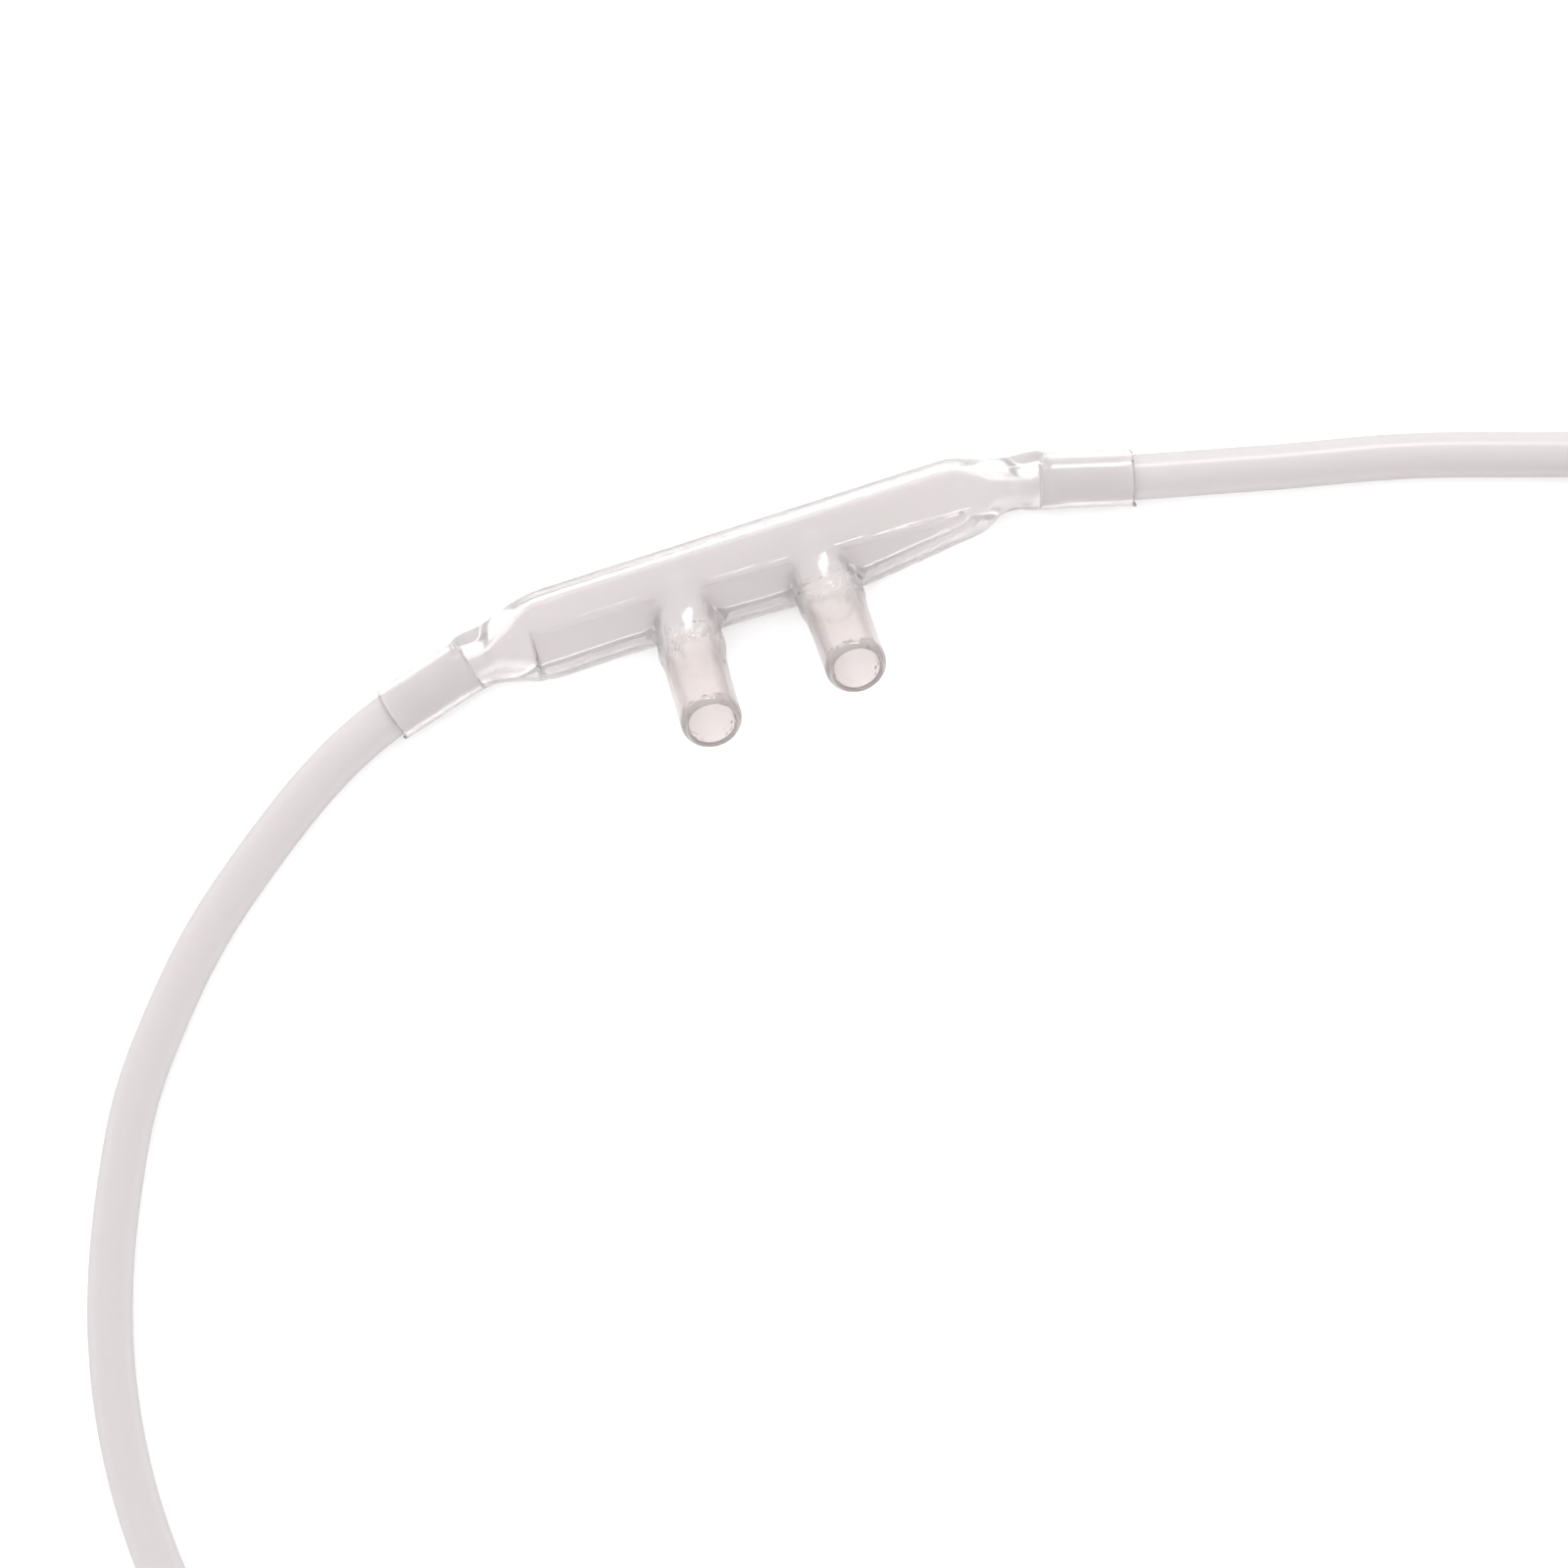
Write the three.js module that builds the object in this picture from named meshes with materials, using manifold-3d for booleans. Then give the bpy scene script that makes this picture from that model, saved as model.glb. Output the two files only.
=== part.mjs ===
// Nasal oxygen cannula: a soft moulded facepiece with two curved prongs, two headset tubes that leave
// its sleeves, a slide adjuster, a Y connector, and a supply tube wound in a coil with a funnel on its end.
// Millimetres, Z up. Everything lies on the surface z = 0. X runs along the facepiece, the prongs leave
// it towards -Y and curve up. The origin is the middle of the facepiece's flat back.
import * as THREE from "three";
import { mergeVertices } from "three/addons/utils/BufferGeometryUtils.js";
import Module from "manifold-3d";

const wasm = await Module();
wasm.setup();

// Tubes
const HEADSET_OD = 4.2;
const SUPPLY_OD = 5;
const TUBE_SIDES = 10;
const STEP_DIAMETERS = 2.4; // length of a step along a swept tube, in diameters
const SEAT_RUN = 1.2; // how far a tube runs straight on out of its socket
const SOCKET_FIT = 0.12; // radial play of a tube in the socket that it is bonded in
const SEAT_GAP = 0.3; // between faces that touch on the real object
const CUT_PAST = 1; // how far a cut runs past the face that it opens

// Facepiece: the hollow bar
const BAR_HALF = 27; // half of the bar's length, up to the sleeves
const BAR_THICK = 5.4;
const BAR_TOP = 4.3; // upper edge, from the middle line
const BAR_FRONT = -4.3; // lower edge, which the prongs leave
const BAR_STRAIGHT = 20; // half of the straight part of the upper edge
const NECK_FALL = 2.2; // how far the upper edge drops along each neck
const FRONT_LEFT_X = -20.6; // where the left neck starts on the lower edge
const FRONT_RIGHT_X = 21.6; // where the right neck starts on the lower edge
const NECK_FRONT = -2.4; // lower edge at the end of each neck
const EDGE_ROUND = 1.5; // rounding of the upper edge
const FOLD_Y = -0.2; // where the flat plate folds down to the front facet
const FRONT_HEIGHT = 2.9; // height of the lower edge above the back
const BACK_BEVEL = 0.7; // where the flat back meets the bar's two long sides
const FRONT_BEVEL = 0.5; // where the front facet meets the lower edge
const CHANNEL_HALF_WIDTH = 2.9; // gas channel in the bar
const CHANNEL_HALF_HEIGHT = 1.6;
const CHANNEL_MARGIN = 5; // from the channel's end to the end of the bar
const CHANNEL_Y = 0.2; // its middle line
const NECK_EASE = 3; // length of the curves that lead into and out of each neck
const NECK_BULGE = 1.2; // how far the upper edge bows out along each neck
const FRONT_STRAIGHT = 9; // half of the straight part of the lower edge
const FRONT_LEFT_DROP = 0.3; // how far the lower edge has come in where the left neck starts
const FRONT_RIGHT_DROP = 1.3; // the same on the right

// Facepiece: the two sleeves that hold the headset tubes
const SLEEVE_OD = 5.2;
const SLEEVE_DROOP = 15.4; // degrees that each sleeve turns towards -Y
const SLEEVE_REACH = 36.1; // distance of a sleeve's end from the middle
const TUBE_SEAT = 8.6; // length of tube inside a sleeve
const SLEEVE_ROOT = 1.8; // how far a sleeve runs on into the bar
const GAS_RUN = 7; // length of the narrow passages inside the bar
const GAS_BORE = 2.8; // diameter of the narrow passage behind each tube's end

// Facepiece: the two prongs
const PRONG_OD = 5.4;
const PRONG_BORE = 4.2;
const PRONG_RISE = 52; // degrees that a prong's mouth points up from the surface
const PRONG_SWEEP = 8.5; // how strongly the mouth's direction bends the prong
const PRONG_TIP_Z = 12.4;
const PRONG_START_Y = 0.4; // where a prong's middle line starts in the bar
const PRONG_START_Z = 2.9;
const LEFT_ROOT_X = -7.2; // the left prong's root and the middle of its mouth
const LEFT_TIP_X = -7.9;
const LEFT_TIP_Y = -12.5;
const RIGHT_ROOT_X = 5.65; // the right prong's
const RIGHT_TIP_X = 6.1;
const RIGHT_TIP_Y = -11.6;
const PRONGS = [
  { rootX: LEFT_ROOT_X, tipX: LEFT_TIP_X, tipY: LEFT_TIP_Y },
  { rootX: RIGHT_ROOT_X, tipX: RIGHT_TIP_X, tipY: RIGHT_TIP_Y },
];
const WEB_GROWTH = 1.1; // how much wider a prong's root web is than the prong, on each side
const WEB_LENGTH = 3.4;
const WEB_TOP = 0.05; // how far the web's top lies inside the prong's wall

// Slide adjuster and Y connector
const PAIR_SPACING = 5.6; // between the two headset tubes where they run side by side
const FITTING_WALL = 1.3;
const SLIDER_LENGTH = 8;
const SLIDER_PLAY = 0.25; // radial play of the tubes in the adjuster
const Y_LENGTH = 21;
const Y_SOCKET = 7; // depth of the Y connector's three sockets
const SLIDER_TO_Y = 3;
const FITTING_BEVEL = 0.8;

// End connector: a soft funnel with a socket for the supply tube
const FUNNEL_LENGTH = 38;
const FUNNEL_OD = 9.8;
const FUNNEL_BORE = 6.8;
const FUNNEL_BORE_DEPTH = 18;
const NECK_OD = 7.8;
const FUNNEL_SOCKET = 12; // length of supply tube inside the connector

// Coils, wound round one centre, and their tie
const COIL_X = 97;
const COIL_Y = -82;
const TIE_THICK = 0.5;
const TIE_WIDTH = 5;
const TIE_ANGLE = 195; // degrees round the coil
const HEADSET_COIL_IN = 15.9;
const HEADSET_COIL_OUT = 30.6;
const HEADSET_LAYERS = 2;
const SUPPLY_COIL_IN = 17.5;
const SUPPLY_RINGS = 4;
const SUPPLY_LAYERS = 3;
const COIL_SEGMENTS = 36;

// Heights and radii that follow from the sizes above
const headsetR = HEADSET_OD / 2;
const supplyR = SUPPLY_OD / 2;
const sleeveZ = SLEEVE_OD / 2;
const coilBase = TIE_THICK + SEAT_GAP;
const headsetCoilHeight = HEADSET_LAYERS * HEADSET_OD;
const supplyCoilBase = coilBase + headsetCoilHeight + SEAT_GAP;
const supplyCoilHeight = SUPPLY_LAYERS * SUPPLY_OD;
const supplyCoilOut = SUPPLY_COIL_IN + SUPPLY_RINGS * SUPPLY_OD;
const coilTop = supplyCoilBase + supplyCoilHeight;
const fittingHeight = HEADSET_OD + 2 * (SOCKET_FIT + FITTING_WALL);
const fittingZ = fittingHeight / 2;

// Materials
const clearPvc = (opacity) =>
  new THREE.MeshStandardMaterial({
    color: 0xe4dedc,
    roughness: 0.25,
    metalness: 0,
    transparent: true,
    opacity,
  });
const white = () =>
  new THREE.MeshStandardMaterial({ color: 0xf2f2ee, roughness: 0.5, metalness: 0 });

// A closed three.js geometry as a solid that can be joined and cut.
function solid(geometry, matrix = new THREE.Matrix4()) {
  const bare = geometry.clone().applyMatrix4(matrix);
  bare.deleteAttribute("normal");
  bare.deleteAttribute("uv");
  const merged = mergeVertices(bare);
  const vertProperties = merged.attributes.position.array;
  const triVerts = new Uint32Array(merged.index.array);
  return new wasm.Manifold(new wasm.Mesh({ numProp: 3, vertProperties, triVerts }));
}

// A joined or cut solid as a geometry again.
function geometryOf(made) {
  const mesh = made.getMesh();
  return new THREE.BufferGeometry()
    .setAttribute("position", new THREE.BufferAttribute(mesh.vertProperties, 3))
    .setIndex(new THREE.BufferAttribute(mesh.triVerts, 1));
}

const vector = (x, y, z) => new THREE.Vector3(x, y, z);

// A round bar swept along a smooth curve, with flat ends.
function sweep(curve, radius, steps, sides = TUBE_SIDES) {
  const round = new THREE.Shape().absarc(0, 0, radius, 0, 2 * Math.PI);
  return new THREE.ExtrudeGeometry(round, {
    extrudePath: curve,
    steps,
    curveSegments: sides / 2,
  });
}

// A tube through its route's points, with one step for every two to three diameters, and a straight
// rod for each stretch that lies in a socket.
function tube(points, diameter, seats) {
  const curve = new THREE.CatmullRomCurve3(points);
  const steps = Math.ceil(curve.getLength() / (STEP_DIAMETERS * diameter));
  let made = solid(sweep(curve, diameter / 2, steps));
  for (const [from, to] of seats) made = made.add(rod(from, to, diameter, TUBE_SIDES));
  return geometryOf(made);
}

// A round rod of one diameter between two points.
function rod(from, to, diameter, sides = 24) {
  const along = to.clone().sub(from);
  const turn = new THREE.Quaternion().setFromUnitVectors(
    vector(0, 1, 0),
    along.clone().normalize(),
  );
  const middle = from.clone().add(to).multiplyScalar(0.5);
  const matrix = new THREE.Matrix4().compose(middle, turn, vector(1, 1, 1));
  const geometry = new THREE.CylinderGeometry(diameter / 2, diameter / 2, along.length(), sides);
  return solid(geometry, matrix);
}

// The sleeve on one side, side = -1 or 1: its axis points out from the bar.
function sleeveAxis(side) {
  const droop = THREE.MathUtils.degToRad(SLEEVE_DROOP);
  const out = vector(side * Math.cos(droop), -Math.sin(droop), 0);
  const root = vector(side * BAR_HALF, 0, sleeveZ);
  const reach = (SLEEVE_REACH - BAR_HALF) / Math.cos(droop);
  const end = root.clone().addScaledVector(out, reach);
  const start = root.clone().addScaledVector(out, -SLEEVE_ROOT);
  const at = (distance) => end.clone().addScaledVector(out, distance);
  return { at, start };
}

// A prong's middle line, from inside the bar to its mouth.
function prongCurve(prong) {
  const rise = THREE.MathUtils.degToRad(PRONG_RISE);
  const tip = vector(prong.tipX, prong.tipY, PRONG_TIP_Z);
  const start = vector(prong.rootX, PRONG_START_Y, PRONG_START_Z);
  const bend = tip
    .clone()
    .sub(vector(0, -Math.cos(rise), Math.sin(rise)).multiplyScalar(PRONG_SWEEP));
  return new THREE.QuadraticBezierCurve3(start, bend, tip);
}

// The bar: its cross-section run along X, kept inside its outline seen from above.
function barSolid() {
  const section = new THREE.Shape();
  section.moveTo(BAR_FRONT + BACK_BEVEL, 0);
  section.lineTo(BAR_TOP - BACK_BEVEL, 0);
  section.lineTo(BAR_TOP, BACK_BEVEL);
  section.lineTo(BAR_TOP, BAR_THICK - EDGE_ROUND);
  section.absarc(BAR_TOP - EDGE_ROUND, BAR_THICK - EDGE_ROUND, EDGE_ROUND, 0, Math.PI / 2);
  section.lineTo(FOLD_Y, BAR_THICK);
  section.lineTo(BAR_FRONT + FRONT_BEVEL, FRONT_HEIGHT);
  section.lineTo(BAR_FRONT, FRONT_HEIGHT - 1.6 * FRONT_BEVEL);
  section.lineTo(BAR_FRONT, BACK_BEVEL);
  section.closePath();
  const length = 2 * (BAR_HALF + SLEEVE_ROOT);
  const along = new THREE.ExtrudeGeometry(section, {
    depth: length,
    steps: 1,
    bevelEnabled: false,
    curveSegments: 5,
  });
  const turned = new THREE.Matrix4()
    .makeBasis(vector(0, 1, 0), vector(0, 0, 1), vector(1, 0, 0))
    .setPosition(-length / 2, 0, 0);

  const neckTop = BAR_TOP - NECK_FALL;
  const leftFront = BAR_FRONT + FRONT_LEFT_DROP;
  const rightFront = BAR_FRONT + FRONT_RIGHT_DROP;
  const outline = new THREE.Shape();
  outline.moveTo(-BAR_HALF, NECK_FRONT);
  outline.bezierCurveTo(
    -BAR_HALF + NECK_EASE, NECK_FRONT, FRONT_LEFT_X - NECK_EASE, leftFront, FRONT_LEFT_X, leftFront);
  outline.lineTo(-FRONT_STRAIGHT, BAR_FRONT);
  outline.lineTo(FRONT_STRAIGHT, BAR_FRONT);
  outline.bezierCurveTo(
    FRONT_STRAIGHT + 2 * NECK_EASE, BAR_FRONT, FRONT_RIGHT_X - NECK_EASE / 2, BAR_FRONT + NECK_BULGE,
    FRONT_RIGHT_X, rightFront);
  outline.bezierCurveTo(
    FRONT_RIGHT_X + NECK_EASE / 3, rightFront + NECK_EASE / 4, BAR_HALF - NECK_EASE, NECK_FRONT + FRONT_BEVEL,
    BAR_HALF, NECK_FRONT);
  outline.lineTo(BAR_HALF, neckTop);
  outline.bezierCurveTo(
    BAR_HALF - NECK_EASE, neckTop + NECK_BULGE, BAR_STRAIGHT + NECK_EASE, BAR_TOP, BAR_STRAIGHT, BAR_TOP);
  outline.lineTo(-BAR_STRAIGHT, BAR_TOP);
  outline.bezierCurveTo(
    -BAR_STRAIGHT - NECK_EASE, BAR_TOP, -BAR_HALF + NECK_EASE, neckTop + NECK_BULGE, -BAR_HALF, neckTop);
  outline.closePath();
  const seenFromAbove = new THREE.ExtrudeGeometry(outline, {
    depth: 2 * BAR_THICK,
    steps: 1,
    bevelEnabled: false,
    curveSegments: 6,
  }).translate(0, 0, -BAR_THICK / 2);
  return solid(along, turned).intersect(solid(seenFromAbove));
}

// The facepiece is one hollow moulding, open at both sleeves and both prongs.
function facepiece() {
  let body = barSolid();
  const channel = new THREE.Shape();
  channel.absellipse(0, 0, CHANNEL_HALF_WIDTH, CHANNEL_HALF_HEIGHT, 0, 2 * Math.PI);
  const channelLength = 2 * (BAR_HALF - CHANNEL_MARGIN);
  const channelPlace = new THREE.Matrix4()
    .makeBasis(vector(0, 1, 0), vector(0, 0, 1), vector(1, 0, 0))
    .setPosition(-channelLength / 2, CHANNEL_Y, sleeveZ);
  let hollow = solid(
    new THREE.ExtrudeGeometry(channel, { depth: channelLength, bevelEnabled: false, curveSegments: 8 }),
    channelPlace,
  );
  for (const side of [-1, 1]) {
    const { at, start } = sleeveAxis(side);
    const passage = vector(side * (BAR_HALF - GAS_RUN), CHANNEL_Y, sleeveZ);
    body = body.add(rod(start, at(0), SLEEVE_OD));
    hollow = hollow.add(rod(at(-TUBE_SEAT - SEAT_GAP), at(CUT_PAST), HEADSET_OD + 2 * SOCKET_FIT));
    hollow = hollow.add(rod(passage, at(-TUBE_SEAT), GAS_BORE, 16));
  }
  for (const prong of PRONGS) {
    const line = prongCurve(prong);
    body = body.add(solid(sweep(line, PRONG_OD / 2, 9, 20)));
    const webFrom = line.getPoint(0.16);
    const webAlong = line.getTangent(0.2);
    const webRadius = PRONG_OD / 2 - WEB_TOP;
    const web = new THREE.CylinderGeometry(webRadius, webRadius + WEB_GROWTH, WEB_LENGTH, 20);
    const webTurn = new THREE.Quaternion().setFromUnitVectors(vector(0, 1, 0), webAlong);
    const webMiddle = webFrom.clone().addScaledVector(webAlong, WEB_LENGTH / 2);
    const webPlace = new THREE.Matrix4().compose(webMiddle, webTurn, vector(1, 1, 1));
    body = body.add(solid(web, webPlace));
    const mouth = line.getPoint(1).addScaledVector(line.getTangent(1), CUT_PAST);
    const bore = new THREE.CatmullRomCurve3([...line.getPoints(8).slice(1), mouth]);
    hollow = hollow.add(solid(sweep(bore, PRONG_BORE / 2, 10, 16)));
  }
  // The webs end on the flat back's plane.
  const floorBox = new THREE.BoxGeometry(4 * BAR_HALF, 8 * SLEEVE_OD, SLEEVE_OD);
  floorBox.translate(0, 0, -SLEEVE_OD / 2);
  return geometryOf(body.subtract(hollow).subtract(solid(floorBox)));
}

// A point round the coil's centre: degrees are counterclockwise from +X.
function around(radius, degrees, z) {
  const angle = THREE.MathUtils.degToRad(degrees);
  return vector(COIL_X + radius * Math.cos(angle), COIL_Y + radius * Math.sin(angle), z);
}

// The straight line beside the coil that the slide adjuster and the Y connector lie on.
const LINE_HEADING = 120;
const LINE_RADIUS = 37.4;
const LINE_START = -5; // the adjuster's first face, from the line's nearest point to the coil's centre
const heading = THREE.MathUtils.degToRad(LINE_HEADING);
const lineDirection = vector(Math.cos(heading), Math.sin(heading), 0);
const lineSide = vector(Math.sin(heading), -Math.cos(heading), 0);
const lineFoot = around(LINE_RADIUS, LINE_HEADING - 90, 0);

// A point of that line: along it from the adjuster's first face, to its outer side, and up.
function onLine(along, aside, z) {
  return lineFoot
    .clone()
    .addScaledVector(lineDirection, LINE_START + along)
    .addScaledVector(lineSide, aside)
    .setZ(z);
}
const yStart = SLIDER_LENGTH + SLIDER_TO_Y;
const yEnd = yStart + Y_LENGTH;

// Routes of the tubes' free stretches, chosen by hand, from where each leaves its socket.
const MOUTH = 0.5; // a free stretch starts this far outside its socket's mouth
const floorPoints = (list, z) => list.map(([x, y]) => vector(x, y, z));
const beside = (radius) => radius + headsetR + SEAT_GAP;
const leftRoute = [
  sleeveAxis(-1).at(MOUTH),
  vector(-44.7, -6.4, headsetR + 0.2),
  ...floorPoints(
    [
      [-52.4, -11.6], [-59.1, -17], [-64.7, -22.9], [-69.5, -29], [-73.1, -35.5], [-76.1, -42.1],
      [-78.5, -49], [-80.1, -56.1], [-80.9, -63.6], [-80.8, -71.2], [-79.2, -79.5], [-75, -87],
      [-68.3, -92.4], [-60, -95.6], [-45, -99.2], [-25, -103.8], [-5, -108.3], [15, -112.6],
      [33, -116.4], [45, -118.3], [60, -118.4],
    ],
    headsetR,
  ),
  vector(80, -114.9, headsetR + 0.3),
  around(beside(HEADSET_COIL_OUT), 274, coilBase + headsetR),
];
const rightRoute = [
  sleeveAxis(1).at(MOUTH),
  vector(43.5, -4.3, headsetR + 0.2),
  ...floorPoints(
    [
      [50.6, -6], [57.8, -7.6], [64.8, -9.5], [71.7, -11.7], [79, -14.1], [86, -17.1],
      [92.4, -21.7], [96.4, -28.4], [96.2, -36], [92.2, -43.2], [86.6, -50.2],
    ],
    headsetR,
  ),
  around(beside(HEADSET_COIL_OUT), 127, coilBase + headsetR),
];
const sleeveSeat = (side) => [sleeveAxis(side).at(-TUBE_SEAT), sleeveAxis(side).at(SEAT_RUN)];

// The two tubes' last stretches leave the coil's second layer, side by side, and go down to the adjuster.
const secondLayer = coilBase + 1.5 * HEADSET_OD;
const tail = (aside, list) => [
  ...list.map(([radius, degrees, fall]) => around(radius, degrees, secondLayer - fall)),
  onLine(-3, aside, fittingZ + 0.1),
  onLine(-MOUTH, aside, fittingZ),
];
const pairSeat = (aside) => [
  onLine(-SEAT_RUN, aside, fittingZ),
  onLine(yStart + Y_SOCKET, aside, fittingZ),
];
const leftAside = PAIR_SPACING / 2;
const rightAside = -PAIR_SPACING / 2;
const leftTail = tail(leftAside, [[34.5, -25, 1.2], [37.9, -9, 2.3], [40.5, 6, 3.1]]);
const rightTail = tail(rightAside, [[33.1, -8, 1.9], [35.3, 6, 2.9]]);

// The supply tube climbs from the Y connector, over the right headset tube, to the upper coil.
const supplyRadius = supplyCoilOut + supplyR + SEAT_GAP;
const supplyStart = [
  onLine(yEnd + MOUTH, 0, fittingZ),
  vector(112, -34.5, fittingZ + 0.7),
  vector(105.5, -31, fittingZ + 2.2),
  vector(97.5, -31.5, fittingZ + 4),
  vector(90, -35.2, fittingZ + 5.7),
  around(supplyRadius + 1.2, 112, supplyCoilBase + supplyR - 0.7),
  around(supplyRadius, 124, supplyCoilBase + supplyR),
];
const supplySeat = [onLine(yEnd - Y_SOCKET, 0, fittingZ), onLine(yEnd + SEAT_RUN, 0, fittingZ)];

// The end connector lies on the coil along a chord, with its mouth ahead.
const FUNNEL_HEADING = 90;
const FUNNEL_CHORD = 27; // distance of its axis from the coil's centre
const funnelZ = coilTop + SEAT_GAP + FUNNEL_OD / 2;
const funnelTurn = THREE.MathUtils.degToRad(FUNNEL_HEADING);
const funnelDirection = vector(Math.cos(funnelTurn), Math.sin(funnelTurn), 0);
const funnelFoot = around(FUNNEL_CHORD, FUNNEL_HEADING - 90, funnelZ);
const onFunnel = (along) => funnelFoot.clone().addScaledVector(funnelDirection, along);
const funnelBack = onFunnel(-FUNNEL_LENGTH / 2);
const supplyTopZ = coilTop + SEAT_GAP + supplyR;
const supplyEnd = [
  around(21, 245, supplyTopZ),
  vector(93.6, -104.2, supplyTopZ + 0.1),
  vector(99.8, -106.5, supplyTopZ + 0.3),
  vector(111.5, -110.8, supplyTopZ + 1.1),
  vector(120.4, -110.8, funnelZ - 0.4),
  vector(123.4, -107, funnelZ - 0.1),
  onFunnel(-FUNNEL_LENGTH / 2 - MOUTH),
];
const funnelSeat = [
  onFunnel(-FUNNEL_LENGTH / 2 - SEAT_RUN),
  onFunnel(-FUNNEL_LENGTH / 2 + FUNNEL_SOCKET),
];

// A coil as one ring with the rounded edges that its outer turns give it.
function coilRing(inner, outer, height, tubeRadius) {
  const soft = 0.6 * tubeRadius;
  const profile = [
    [inner + soft, 0], [outer - soft, 0], [outer, soft], [outer, height - soft],
    [outer - soft, height], [inner + soft, height], [inner, height - soft], [inner, soft], [inner + soft, 0],
  ].map(([r, z]) => new THREE.Vector2(r, z));
  return new THREE.LatheGeometry(profile, COIL_SEGMENTS);
}

// The tie: a flat band round both coils' section.
function tieBand() {
  const inside = Math.min(HEADSET_COIL_IN, SUPPLY_COIL_IN) - SEAT_GAP;
  const outside = supplyCoilOut + SEAT_GAP;
  const top = coilTop + SEAT_GAP;
  const band = new THREE.Shape();
  band.moveTo(inside - TIE_THICK, 0);
  band.lineTo(outside + TIE_THICK, 0);
  band.lineTo(outside + TIE_THICK, top + TIE_THICK);
  band.lineTo(inside - TIE_THICK, top + TIE_THICK);
  band.closePath();
  const hole = new THREE.Path();
  hole.moveTo(inside, TIE_THICK);
  hole.lineTo(inside, top);
  hole.lineTo(outside, top);
  hole.lineTo(outside, TIE_THICK);
  hole.closePath();
  band.holes.push(hole);
  return new THREE.ExtrudeGeometry(band, { depth: TIE_WIDTH, bevelEnabled: false });
}

// A flat fitting: its outline seen from above, with softened edges, lying on the surface.
function flatFitting(outline, height) {
  const made = new THREE.ExtrudeGeometry(outline, {
    depth: height - 2 * FITTING_BEVEL,
    bevelThickness: FITTING_BEVEL,
    bevelSize: FITTING_BEVEL,
    bevelOffset: -FITTING_BEVEL,
    bevelSegments: 2,
    curveSegments: 6,
  });
  return made.translate(0, 0, FITTING_BEVEL);
}

// The fittings' own frame: Y runs along the line, X to its outer side.
const lineFrame = new THREE.Matrix4()
  .makeBasis(lineSide, lineDirection, vector(0, 0, 1))
  .setPosition(onLine(0, 0, 0));
const pairWidth = PAIR_SPACING + HEADSET_OD + 2 * (SOCKET_FIT + FITTING_WALL);

function slideAdjuster() {
  const half = pairWidth / 2;
  const outline = new THREE.Shape();
  outline.moveTo(-half, 0);
  outline.lineTo(half, 0);
  outline.lineTo(half, SLIDER_LENGTH);
  outline.lineTo(-half, SLIDER_LENGTH);
  outline.closePath();
  let made = solid(flatFitting(outline, fittingHeight));
  for (const side of [-0.5, 0.5]) {
    const x = side * PAIR_SPACING;
    const from = vector(x, -CUT_PAST, fittingZ);
    const to = vector(x, SLIDER_LENGTH + CUT_PAST, fittingZ);
    made = made.subtract(rod(from, to, HEADSET_OD + 2 * SLIDER_PLAY));
  }
  return geometryOf(made);
}

function yConnector() {
  const half = pairWidth / 2;
  const narrow = supplyR + SOCKET_FIT + FITTING_WALL;
  const outline = new THREE.Shape();
  outline.moveTo(-half, 0);
  outline.lineTo(half, 0);
  outline.lineTo(half, Y_SOCKET);
  outline.bezierCurveTo(half, Y_LENGTH * 0.55, narrow, Y_LENGTH * 0.5, narrow, Y_LENGTH - Y_SOCKET);
  outline.lineTo(narrow, Y_LENGTH);
  outline.lineTo(-narrow, Y_LENGTH);
  outline.lineTo(-narrow, Y_LENGTH - Y_SOCKET);
  outline.bezierCurveTo(-narrow, Y_LENGTH * 0.5, -half, Y_LENGTH * 0.55, -half, Y_SOCKET);
  outline.closePath();
  let made = solid(flatFitting(outline, fittingHeight));
  const joint = vector(0, Y_LENGTH - Y_SOCKET - SEAT_GAP, fittingZ);
  for (const side of [-0.5, 0.5]) {
    const mouth = vector(side * PAIR_SPACING, -CUT_PAST, fittingZ);
    const seat = vector(side * PAIR_SPACING, Y_SOCKET + SEAT_GAP, fittingZ);
    made = made.subtract(rod(mouth, seat, HEADSET_OD + 2 * SOCKET_FIT));
    made = made.subtract(rod(seat, joint, GAS_BORE, 16));
  }
  const outlet = vector(0, Y_LENGTH + CUT_PAST, fittingZ);
  const outletSeat = vector(0, Y_LENGTH - Y_SOCKET - SEAT_GAP, fittingZ);
  made = made.subtract(rod(outletSeat, outlet, SUPPLY_OD + 2 * SOCKET_FIT));
  return geometryOf(made);
}

// The funnel, turned about its own axis: the supply tube's socket behind, a smooth mouth ahead.
function endConnector() {
  const socketR = supplyR + SOCKET_FIT;
  const mouthStart = FUNNEL_LENGTH - FUNNEL_BORE_DEPTH;
  const profile = [
    [socketR, 0], [NECK_OD / 2 - 0.4, 0], [NECK_OD / 2, 0.4], [NECK_OD / 2, FUNNEL_SOCKET],
    [FUNNEL_OD / 2, mouthStart], [FUNNEL_OD / 2, FUNNEL_LENGTH], [FUNNEL_BORE / 2, FUNNEL_LENGTH],
    [FUNNEL_BORE / 2, mouthStart + 1.5], [GAS_BORE / 2, mouthStart - 1.5],
    [GAS_BORE / 2, FUNNEL_SOCKET + SEAT_GAP], [socketR, FUNNEL_SOCKET + SEAT_GAP], [socketR, 0],
  ].map(([r, along]) => new THREE.Vector2(r, along));
  return new THREE.LatheGeometry(profile, 28);
}

// The assembly
const cannula = new THREE.Group();

function addPiece(parent, name, geometry, material) {
  const mesh = new THREE.Mesh(geometry, material);
  mesh.name = name;
  parent.add(mesh);
  return mesh;
}

addPiece(cannula, "facepiece", facepiece(), clearPvc(0.6));

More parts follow.
